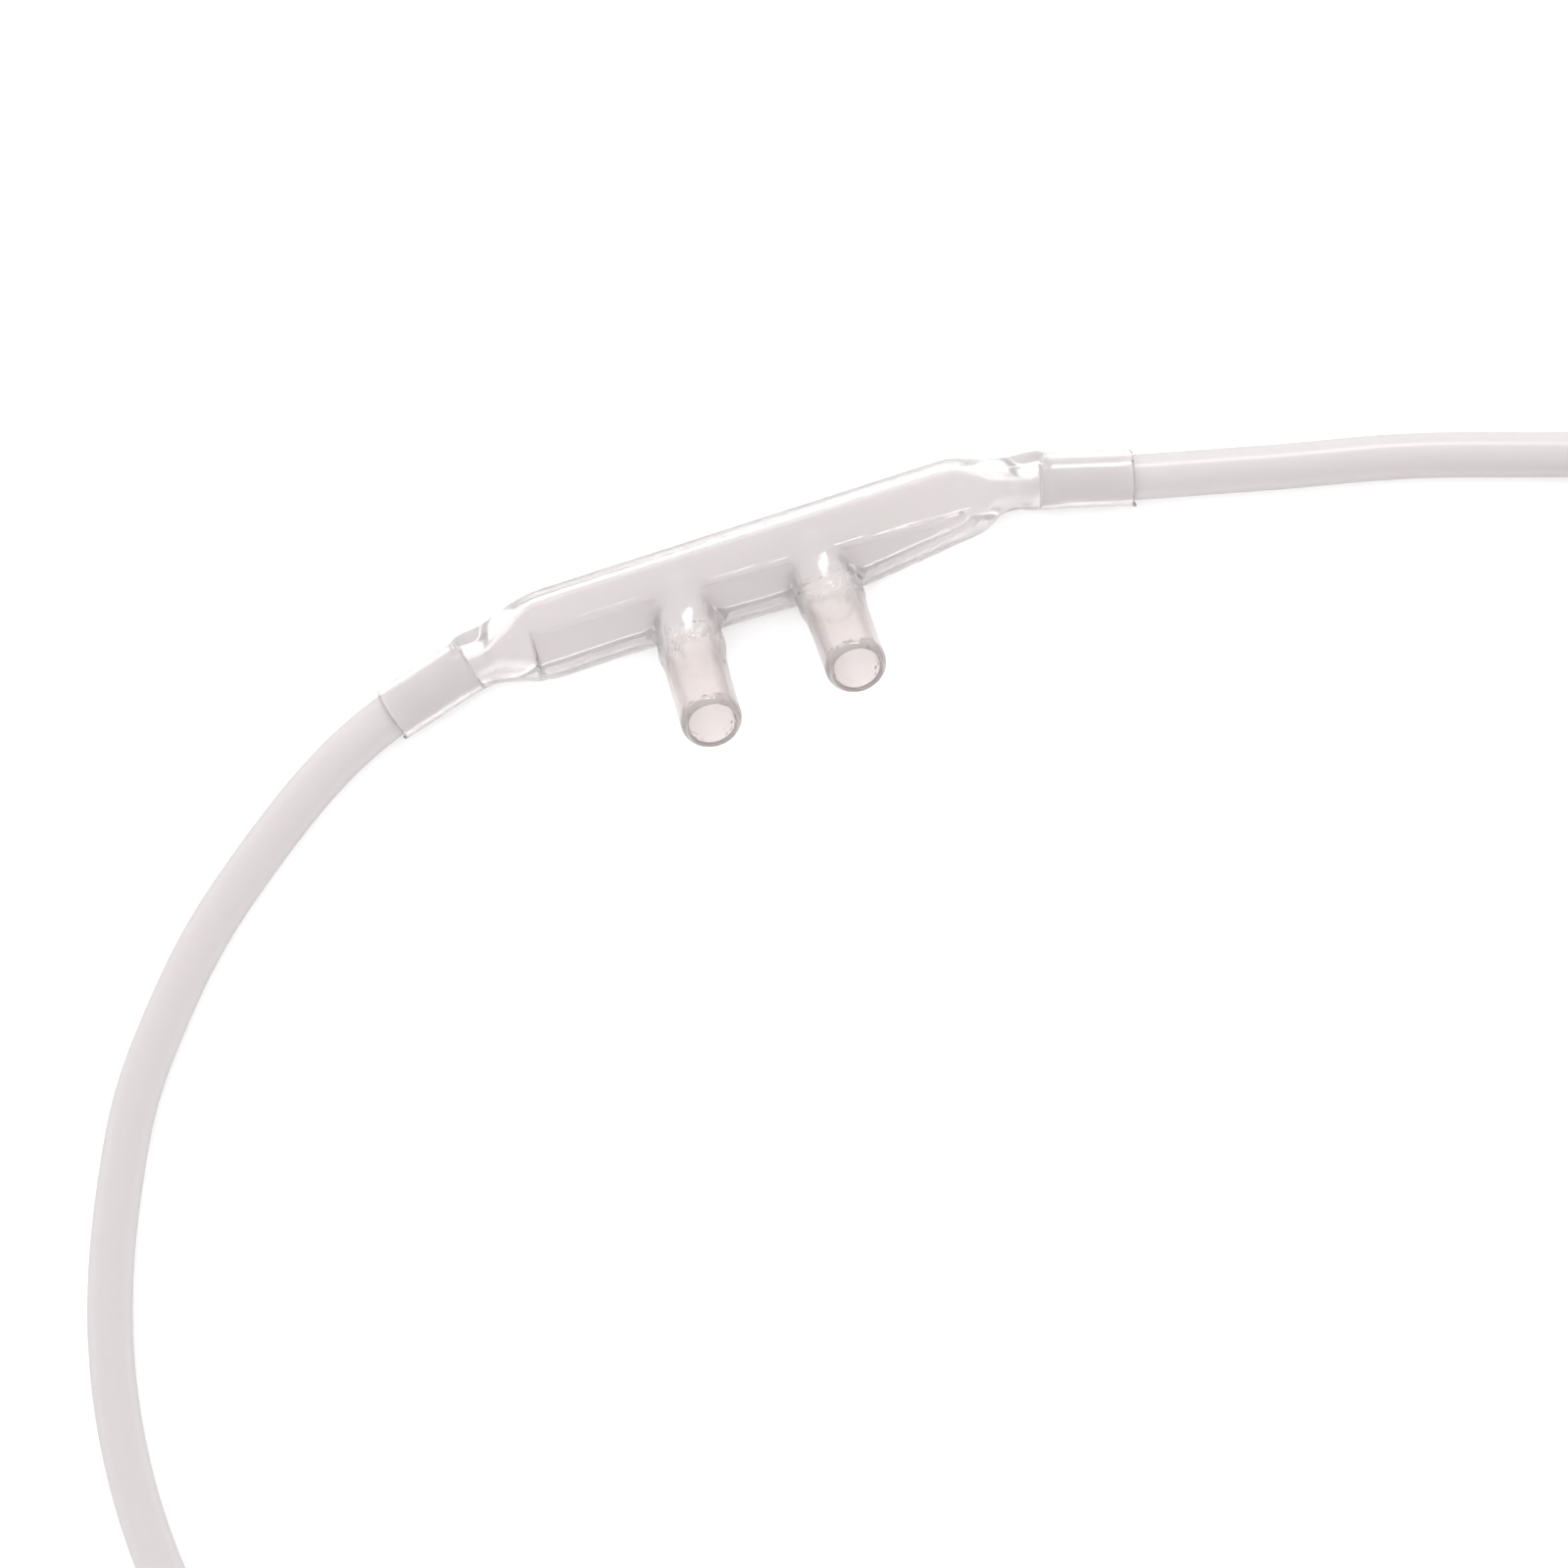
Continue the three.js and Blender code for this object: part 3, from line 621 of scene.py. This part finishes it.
# %% [markdown]
# ## The facepiece
# Its outline was measured on the photograph. The bar is a flat box whose back lies on the lip: a
# bevelled upper edge, a flat plate, a fold line, and a facet that falls to the lower edge. The facet
# ends in a step at the left neck. Two prongs leave the lower edge and curve up, with thick webs at
# their roots, and two sleeves hold the headset tubes.

# %% The facepiece's sizes
BAR_TOP = 4.35
BAR_THICK = 5.4
BAR_WALL = 0.8
STRIP_WIDTH = 1.25
SLEEVE_OUTER = 2.6
SEAT_RADIUS = 2.16
PASSAGE_RADIUS = 1.5
FLASHES = {-1: (-35.5, -4.75, 2.6), 1: (35.5, -4.95, 2.6)}
FLASH_RADIUS = 0.25
BUBBLE = (13.35, -0.51, 5.15)
BUBBLE_RADIUS = 0.38
FRONT_HEIGHT = 2.9
FRONT_KNOTS = [
    (-40, -2.4), (-28.5, -2.4), (-25.6, -2.7), (-20.6, -4.05), (-13.6, -3.9), (-4, -4.2),
    (2.5, -4.4), (9.1, -4.6), (15.5, -3.85), (22, -3.0), (23.6, -1.9), (25.5, -2.0),
    (27.3, -2.4), (40, -2.4),
]
TOP_KNOTS = [
    (-40, 2.3), (-28.1, 2.4), (-25.5, 3.0), (-23.1, 3.85), (-20.3, BAR_TOP), (20.1, BAR_TOP),
    (23.4, 3.25), (28.5, 2.35), (40, 2.3),
]
FOLD_KNOTS = [(-22, 0.8), (-10.6, 0.45), (2.9, -0.15), (20.3, -1.0)]
PRONGS = [((-7.2, 0.4, 2.9), (-7.9, -12.75, 12.4)), ((5.65, 0.4, 2.9), (6.1, -12.0, 12.4))]
PRONG_RADIUS = 2.85
PRONG_BORE = 2.12
PRONG_RISE = math.radians(52)
PRONG_SWEEP = 11.0


def eased_knots(knots, spread):
    """A table of a curve through some knots, with its corners rounded."""
    xs = np.arange(-42, 42, 0.1)
    ys = np.interp(xs, *zip(*knots))
    reach = np.arange(-30, 31) * 0.1
    weights = np.exp(-0.5 * (reach / spread) ** 2)
    padded = np.pad(ys, 30, mode="edge")
    return xs, np.convolve(padded, weights / weights.sum(), mode="valid")


TOP_CURVE = eased_knots(TOP_KNOTS, 0.7)
FRONT_CURVE = eased_knots(FRONT_KNOTS, 0.6)
FOLD_CURVE = eased_knots(FOLD_KNOTS, 1.5)


# %% The fields of the facepiece's forms
def step_at(values, start, end):
    t = np.clip((values - start) / (end - start), 0, 1)
    return t * t * (3 - 2 * t)


def bar_field(points):
    """The bar and its necks."""
    x, y, z = points.T
    top = np.interp(x, *TOP_CURVE)
    front = np.interp(x, *FRONT_CURVE)
    fold = np.interp(x, *FOLD_CURVE)
    in_neck = step_at(np.abs(x), 20.5, 24.5)
    height = BAR_THICK - 0.25 * in_neck
    upper = y - top
    lower = front - y
    bevel = 0.485 * (y - top) + 0.875 * (z - height) + 0.52 - 0.5 * in_neck
    fall = (BAR_THICK - FRONT_HEIGHT) / (fold - front)
    lift = 1.5 * (1 - step_at(x, -21.9, -21.4)) + 1.6 * step_at(x, 19.4, 22.4)
    facet = (z - height + fall * (fold - y)) / np.sqrt(1 + fall * fall) - lift
    strip = 0.4 * (z - FRONT_HEIGHT - fall * STRIP_WIDTH) - 0.917 * (y - front - STRIP_WIDTH)
    round_in_neck = 0.5 + 1.6 * in_neck
    d = keep_both(z - height, facet, 0.12)
    seam = np.sqrt((y - fold) ** 2 + (z - height + 0.12) ** 2) - 0.3 + 3 * in_neck
    d = join(d, seam, 0.25)
    d = keep_both(d, strip - 1.2 * in_neck - 0.4 * lift, 0.2)
    d = keep_both(d, bevel, 0.25 + in_neck)
    d = keep_both(d, upper, round_in_neck)
    d = keep_both(d, lower, 0.7 + 1.4 * in_neck)
    d = keep_both(d, -z, 0.5 + 1.2 * in_neck)
    return keep_both(d, np.abs(x) - 28.5, 0.5)


def prong_line(start, tip, past):
    """Points along a prong's middle line, run on straight past its mouth."""
    start, tip = np.array(start), np.array(tip)
    bend = tip - PRONG_SWEEP * np.array([0, -math.cos(PRONG_RISE), math.sin(PRONG_RISE)])
    t = np.linspace(0, 1, 90)[:, None]
    line = (1 - t) ** 2 * start + 2 * t * (1 - t) * bend + t**2 * tip
    onward = (tip - bend) / np.linalg.norm(tip - bend)
    more = tip + np.arange(0.2, past + 0.2, 0.2)[:, None] * onward
    return np.concatenate([line, more])


PRONG_LINES = [prong_line(start, tip, 3.0) for start, tip in PRONGS]


def line_distance(points, line):
    """Each point's distance from the nearest point of a line, and where on the line that is."""
    squares = (points * points).sum(1)[:, None] - 2 * points @ line.T + (line * line).sum(1)
    nearest = squares.argmin(1)
    ahead = np.gradient(line, axis=0)
    ahead /= np.linalg.norm(ahead, axis=1)[:, None]
    off = points - line[nearest]
    along = (off * ahead[nearest]).sum(1)
    inner = (nearest > 0) & (nearest < len(line) - 1)
    square = (off * off).sum(1) - np.where(inner, along * along, 0)
    return np.sqrt(np.maximum(square, 0)), nearest


def facepiece_field(points):
    x, y, z = points.T
    body = bar_field(points)
    hollow = keep_both(body + BAR_WALL, np.abs(x) - 25.5, 1.5)
    for side in (-1, 1):
        start = in_sleeve(side, -(SLEEVE_REACH - SLEEVE_ROOT) / math.cos(SLEEVE_DROOP) - 1.6)
        sleeve = rod_field(points, start, in_sleeve(side, 5.0), SLEEVE_OUTER, 2.2)
        heading = np.array((side * math.cos(SLEEVE_DROOP), -math.sin(SLEEVE_DROOP), 0))
        sleeve = keep_both(sleeve, (points - np.array(in_sleeve(side, 0))) @ heading, 0.35)
        body = join(body, sleeve, 0.8)
        off = points - np.array(FLASHES[side])
        speck = np.sqrt((off * off * np.array([2.0, 0.8, 1.0])).sum(1)) - FLASH_RADIUS
        body = join(body, speck, 0.3)
        seat = rod_field(points, in_sleeve(side, -TUBE_SEAT - 0.1), in_sleeve(side, 3), SEAT_RADIUS, 0.2)
        inner = (side * 23.5, 0.0, SLEEVE_Z)
        passage = rod_field(points, inner, in_sleeve(side, -TUBE_SEAT + 1), PASSAGE_RADIUS)
        hollow = join(join(hollow, passage, 1.6), seat, 0.2)
    off = points - np.array(BUBBLE)
    bubble = np.sqrt((off * off).sum(1)) - BUBBLE_RADIUS
    body = join(body, bubble, 0.15)
    near = (np.abs(x) < 14) & (z > -1) & (y < 6)
    some = points[near]
    for line in PRONG_LINES:
        distance, nearest = line_distance(some, line)
        tip = line[89]
        onward = line[-1] - tip
        onward /= np.linalg.norm(onward)
        past_tip = (some - tip) @ onward
        swell = 0.25 * np.clip(1 - nearest / 60, 0, 1) + 0.22 * np.exp(-(((nearest - 40) / 6) ** 2))
        solid = keep_both(distance - PRONG_RADIUS - swell, past_tip, 1.2)
        blend = 0.35 + 2.0 * step_at(-some[:, 1], 1.6, 4.2)
        body[near] = join(body[near], solid, blend)
        bore = distance - PRONG_BORE - 0.1 * step_at(nearest, 80.0, 92.0)
        hollow[near] = join(hollow[near], bore, 0.8)
    return keep_both(cut(body, hollow, 0.3), -z, 0.3)


# %% Make the facepiece
# The second, darker tint is painted shade on the prongs, which are the same moulding as the bar.
facepiece_pvc = clear_pvc("moulded_soft_pvc", "#FDF9F9", 0.08, 0.82, 0.4, 0.02, "#ECE5E4")
facepiece = moulded(
    "facepiece_moulding", facepiece_field, (-37.6, -15.8, -0.6), (37.6, 5.2, 15.2), 0.25, facepiece_pvc
)
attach(facepiece, "root")
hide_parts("facepiece")

# %% [markdown]
# ## The Y connector
# The two headset tubes are glued into a small clear Y, and the supply tube leaves its other end. It
# could be two boxes and a bevel, but a moulded Y is three round bosses that melt into each other,
# so the same distance field makes it: two inlets, one outlet, sockets and passages.

# %% Make the Y connector
TURN_ON_LINE = np.array(
    [
        (math.cos(LINE_HEADING), math.sin(LINE_HEADING), 0),
        (-math.sin(LINE_HEADING), math.cos(LINE_HEADING), 0),
        (0, 0, 1),
    ]
)
Y_START = 11.0
INLET_BOSS = 3.45
OUTLET_BOSS = 3.6


def y_field(points):
    body = rod_field(points, (Y_START + 9, 0, FITTING_Z), (Y_END, 0, FITTING_Z), OUTLET_BOSS, 0.8)
    socket = rod_field(points, (Y_END - Y_SOCKET, 0, FITTING_Z), (Y_END + 2, 0, FITTING_Z), 2.6, 0.2)
    meeting = (Y_END - Y_SOCKET - 1, 0, FITTING_Z)
    for aside in (-PAIR_ASIDE, PAIR_ASIDE):
        mouth = (Y_START, aside, FITTING_Z)
        inner = (Y_START + Y_SOCKET, aside, FITTING_Z)
        boss = rod_field(points, mouth, (Y_START + 10, aside, FITTING_Z), INLET_BOSS, 0.8)
        body = join(body, boss, 2.2)
        seat = rod_field(points, (Y_START - 2, aside, FITTING_Z), inner, 2.2, 0.2)
        way = rod_field(points, inner, meeting, 1.3)
        socket = join(socket, join(seat, way, 0.4), 0.6)
    return keep_both(cut(body, socket, 0.3), -points[:, 2], 0.3)


fitting_pvc = clear_pvc("moulded_fitting_pvc", "#F4F3F0", 0.16, 0.8, 0.5, 0.005)
on_line_place = (TURN_ON_LINE, np.array(on_line(0, 0, 0)))
y_fitting = moulded(
    "y_fitting", y_field, (10, -7.2, -0.6), (33, 7.2, 8), 0.28, fitting_pvc, on_line_place
)
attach(y_fitting, "root")
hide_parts("y_connector")

# %% [markdown]
# ## The slide adjuster
# A short block with two holes slides along the pair of tubes and takes up the slack under the chin.
# It is injection moulded in white polypropylene: satin, a little waxy, with finger grooves across it.


# %% White polypropylene: satin and a little waxy, with the fine grain of a spark-eroded mould
def white_moulding(name, tint, roughness, grain_mm, depth_mm):
    material = bpy.data.materials.new(name)
    material.use_nodes = True
    tree = material.node_tree
    tree.nodes.clear()
    place = add_node(tree, "ShaderNodeTexCoord")
    grain = add_node(
        tree,
        "ShaderNodeTexNoise",
        {"Scale": 1 / (grain_mm * MM), "Detail": 4.0, "Roughness": 0.55},
        {"Vector": place.outputs["Object"]},
    )
    bump = add_node(
        tree,
        "ShaderNodeBump",
        {"Strength": 1.0, "Distance": depth_mm * MM},
        {"Height": grain.outputs["Fac"]},
    )
    shader = add_node(
        tree,
        "ShaderNodeBsdfPrincipled",
        {
            "Base Color": colour(tint),
            "IOR": 1.49,
            "Roughness": roughness,
            "Subsurface Weight": 0.15,
            "Subsurface Scale": 0.001,
        },
        {"Normal": bump.outputs["Normal"]},
    )
    add_node(tree, "ShaderNodeOutputMaterial", {}, {"Surface": shader.outputs[0]})
    return material


# %% Make the slide adjuster
ADJUSTER_LONG = 8.0
ADJUSTER_HALF = 6.3
ADJUSTER_HOLE = 2.3
GROOVES = (2.0, 4.0, 6.0)


def adjuster_field(points):
    u, v, z = points.T
    spine = np.clip(v, -PAIR_ASIDE, PAIR_ASIDE)
    waist = 0.35 * np.exp(-(((u - ADJUSTER_LONG / 2) / 2.2) ** 2))
    body = np.sqrt((v - spine) ** 2 + (z - FITTING_Z) ** 2) - (ADJUSTER_HALF - PAIR_ASIDE) + waist
    body = keep_both(body, np.abs(u - ADJUSTER_LONG / 2) - ADJUSTER_LONG / 2, 0.9)
    for groove in GROOVES:
        dip = np.sqrt((u - groove) ** 2 + (z - 2 * FITTING_Z - 0.25) ** 2) - 0.62
        body = cut(body, dip, 0.3)
    for aside in (-PAIR_ASIDE, PAIR_ASIDE):
        hole = np.sqrt((v - aside) ** 2 + (z - FITTING_Z) ** 2) - ADJUSTER_HOLE
        body = cut(body, hole, 0.3)
    return body


white_pp = white_moulding("white_polypropylene", "#CFD0CD", 0.42, 0.25, 0.006)
adjuster = moulded(
    "slide_block", adjuster_field, (-0.8, -7.2, -0.6), (8.8, 7.2, 8), 0.24, white_pp, on_line_place
)
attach(adjuster, "root")
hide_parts("slide_adjuster")

# %% [markdown]
# ## The funnel
# The supply tube ends in a soft funnel that is pushed on the flowmeter's outlet. Its form is a turned
# profile, so its field is the distance from the axis less a radius that depends on the place along it.

# %% Make the funnel
FUNNEL_BACK = FUNNEL_Y - FUNNEL_LENGTH / 2
FUNNEL_AXIS = np.array([(0, 1, 0), (-1, 0, 0), (0, 0, 1)])
FUNNEL_OUTSIDE = ([0, 12, 20, 36.4, FUNNEL_LENGTH], [3.75, 3.85, 4.75, 4.75, 4.9])
FUNNEL_INSIDE = ([11.9, 12.1, 18, 20.5, 38], [2.6, 1.4, 1.4, 3.3, 3.45])


def funnel_field(points):
    along = points[:, 0]
    off = np.sqrt(points[:, 1] ** 2 + points[:, 2] ** 2)
    outside = np.interp(along, *FUNNEL_OUTSIDE)
    body = keep_both(off - outside, np.abs(along - FUNNEL_LENGTH / 2) - FUNNEL_LENGTH / 2, 0.5)
    inside = np.interp(along, *FUNNEL_INSIDE)
    return cut(body, off - inside, 0.3)


funnel_place = (FUNNEL_AXIS, np.array((FUNNEL_X, FUNNEL_BACK, FUNNEL_Z)))
funnel = moulded(
    "funnel", funnel_field, (-0.6, -5.6, -5.6), (38.6, 5.6, 5.6), 0.3, fitting_pvc, funnel_place
)
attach(funnel, "root")
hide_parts("end_connector")

# %% [markdown]
# ## The funnel's grip ribs
# Fine ribs run along the funnel's wide half, for wet fingers. They repeat round an axis, so a small
# Geometry Nodes tree sets one thin bar on each point of a circle and turns it to face outwards.


# %% The Geometry Nodes tree for ribs round an axis
def rib_tree():
    tree = bpy.data.node_groups.new("ribs_round_axis", "GeometryNodeTree")
    sockets = {}
    for name, kind in (
        ("Count", "NodeSocketInt"),
        ("Radius", "NodeSocketFloat"),
        ("Rib", "NodeSocketVector"),
        ("Finish", "NodeSocketMaterial"),
    ):
        made = tree.interface.new_socket(name, in_out="INPUT", socket_type=kind)
        sockets[name] = made.identifier
    tree.interface.new_socket("Ribs", in_out="OUTPUT", socket_type="NodeSocketGeometry")
    given = add_node(tree, "NodeGroupInput")
    ring = add_node(
        tree,
        "GeometryNodeMeshCircle",
        {},
        {"Vertices": given.outputs["Count"], "Radius": given.outputs["Radius"]},
    )
    bar = add_node(
        tree,
        "GeometryNodeMeshCube",
        {"Vertices X": 2, "Vertices Y": 2, "Vertices Z": 8},
        {"Size": given.outputs["Rib"]},
    )
    place = add_node(tree, "GeometryNodeInputPosition")
    facing = add_node(
        tree,
        "FunctionNodeAlignRotationToVector",
        {"axis": "X"},
        {"Vector": place.outputs["Position"]},
    )
    bars = add_node(
        tree,
        "GeometryNodeInstanceOnPoints",
        {},
        {
            "Points": ring.outputs["Mesh"],
            "Instance": bar.outputs["Mesh"],
            "Rotation": facing.outputs["Rotation"],
        },
    )
    real = add_node(tree, "GeometryNodeRealizeInstances", {}, {"Geometry": bars.outputs["Instances"]})
    finished = add_node(
        tree,
        "GeometryNodeSetMaterial",
        {},
        {"Geometry": real.outputs["Geometry"], "Material": given.outputs["Finish"]},
    )
    add_node(tree, "NodeGroupOutput", {}, {"Ribs": finished.outputs["Geometry"]})
    return tree, sockets


# %% Make the ribs
RIB_COUNT = 16
RIB_LONG = 12.0
RIB_AT = 28.0
RIB_CIRCLE = 4.72
RIB_THICK = (0.5, 0.6)


def make_ribs():
    tree, sockets = rib_tree()
    source = bpy.data.objects.new("rib_source", bpy.data.meshes.new("rib_source"))
    bpy.context.scene.collection.objects.link(source)
    rows = source.modifiers.new("ribs", "NODES")
    rows.node_group = tree
    rows[sockets["Count"]] = RIB_COUNT
    rows[sockets["Radius"]] = RIB_CIRCLE * MM
    rows[sockets["Rib"]] = (RIB_THICK[0] * MM, RIB_THICK[1] * MM, RIB_LONG * MM)
    rows[sockets["Finish"]] = fitting_pvc
    soft = source.modifiers.new("soft edges", "BEVEL")
    soft.width = 0.16 * MM
    soft.segments = 2
    ribs = as_mesh(source, "funnel_grip_ribs")
    upright = Matrix.Rotation(math.radians(-90), 4, "X")
    ribs.data.transform(upright)
    ribs.data.transform(Matrix.Translation(Vector((FUNNEL_X, FUNNEL_BACK + RIB_AT, FUNNEL_Z)) * MM))
    return ribs


funnel_ribs = make_ribs()
print(funnel_ribs.name, len(funnel_ribs.data.polygons), "faces")
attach(funnel_ribs, "root")

# %% [markdown]
# ## The coil's tie
# The coil is held by one flat band of white polyethylene that runs through its hole and closes in a
# small lock on the outside. Its section is the same all round, so its field is a rounded box less a
# smaller rounded box, and fine ridges across it come from a wave along the way round.

# %% Make the tie
TIE_ANGLE = math.radians(195)
TIE_WIDE = 5.0
TIE_THICK = 0.5
TIE_IN = (15.6, 37.8)
TIE_UP = (0.5, 24.8)
LOCK_CORNERS = ((37.9, -3.4, 9.5), (41.0, 3.4, 15.5))
TAIL_CORNERS = ((38.7, -2.3, 3.0), (39.4, 2.3, 21.0))
RIDGE_PITCH = 1.2
RIDGE_HEIGHT = 0.05
TIE_TURN = np.array(
    [
        (math.cos(TIE_ANGLE), math.sin(TIE_ANGLE), 0),
        (-math.sin(TIE_ANGLE), math.cos(TIE_ANGLE), 0),
        (0, 0, 1),
    ]
)


def soft_box(points, low, high, corner):
    """The distance from a box with rounded corners."""
    middle = (np.array(low) + np.array(high)) / 2
    half = (np.array(high) - np.array(low)) / 2 - corner
    over = np.abs(points - middle) - half
    outside = np.sqrt((np.maximum(over, 0) ** 2).sum(1))
    return outside + np.minimum(over.max(1), 0) - corner


def tie_field(points):
    flat = points[:, [0, 2]]
    low = (TIE_IN[0] - TIE_THICK, TIE_UP[0] - TIE_THICK)
    high = (TIE_IN[1] + TIE_THICK, TIE_UP[1] + TIE_THICK)
    outside = soft_box(flat, low, high, 1.6)
    inside = soft_box(flat, (TIE_IN[0], TIE_UP[0]), (TIE_IN[1], TIE_UP[1]), 1.1)
    ridge = RIDGE_HEIGHT * np.sin(2 * math.pi * points[:, 2] / RIDGE_PITCH)
    loop = np.maximum(outside + ridge, -inside)
    band = keep_both(loop, np.abs(points[:, 1]) - TIE_WIDE / 2, 0.25)
    lock = soft_box(points, *LOCK_CORNERS, 0.7)
    tail = soft_box(points, *TAIL_CORNERS, 0.3)
    return join(join(band, lock, 0.4), tail, 0.2)


white_pe = white_moulding("white_polyethylene", "#C9CBCA", 0.36, 0.4, 0.004)
tie_place = (TIE_TURN, np.array((*COIL_CENTRE, 0)))
strap = moulded("coil_strap", tie_field, (14.4, -4.2, -0.5), (42, 4.2, 26), 0.2, white_pe, tie_place)
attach(strap, "root")
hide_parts("coil_tie")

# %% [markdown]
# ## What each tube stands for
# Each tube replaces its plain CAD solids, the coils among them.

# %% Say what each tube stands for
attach(left_tube, "root")
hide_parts("left_headset_tube", "left_headset_tube_end", "headset_coil")
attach(right_tube, "root")
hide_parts("right_headset_tube", "right_headset_tube_end", "headset_coil")
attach(supply_tube, "root")
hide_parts("supply_tube", "supply_tube_end", "supply_coil")

# %% [markdown]
# ## Floor and light
# The photograph is high-key: everything round the cannula is white, so the clear plastic shows only by
# what it bends and dims. A white floor, an even white sky and one large soft lamp give the same.
# The Standard view transform keeps that white at full white, which the default one turns to grey.


# %% Floor, sky and lamp
FLOOR_HALF = 4.0
SKY_STRENGTH = 1.55
LAMP_PLACE = (0.18, 0.53, 0.35)
LAMP_SIZE = (0.4, 0.13)
LAMP_WATTS = 1.5


def make_floor():
    mesh = bpy.data.meshes.new("floor")
    corners = [(x * FLOOR_HALF, y * FLOOR_HALF, 0) for x, y in ((-1, -1), (1, -1), (1, 1), (-1, 1))]
    mesh.from_pydata(corners, [], [(0, 1, 2, 3)])
    floor = bpy.data.objects.new("floor", mesh)
    bpy.context.scene.collection.objects.link(floor)
    material = bpy.data.materials.new("white_paper")
    material.use_nodes = True
    shader = material.node_tree.nodes["Principled BSDF"]
    shader.inputs["Base Color"].default_value = colour("#FAFAFA")
    shader.inputs["Roughness"].default_value = 0.9
    mesh.materials.append(material)
    return floor


def make_light():
    world = bpy.data.worlds.new("white_tent")
    world.use_nodes = True
    world.node_tree.nodes["Background"].inputs["Color"].default_value = colour("#FFFFFF")
    world.node_tree.nodes["Background"].inputs["Strength"].default_value = SKY_STRENGTH
    bpy.context.scene.world = world
    bpy.context.scene.view_settings.view_transform = "Standard"
    lamp = bpy.data.lights.new("softbox", "AREA")
    lamp.shape = "RECTANGLE"
    lamp.size, lamp.size_y = LAMP_SIZE
    lamp.energy = LAMP_WATTS
    holder = bpy.data.objects.new("softbox", lamp)
    holder.location = LAMP_PLACE
    aim = Vector((0, 0, 0)) - holder.location
    holder.rotation_euler = aim.to_track_quat("-Z", "Y").to_euler()
    bpy.context.scene.collection.objects.link(holder)


make_floor()
make_light()
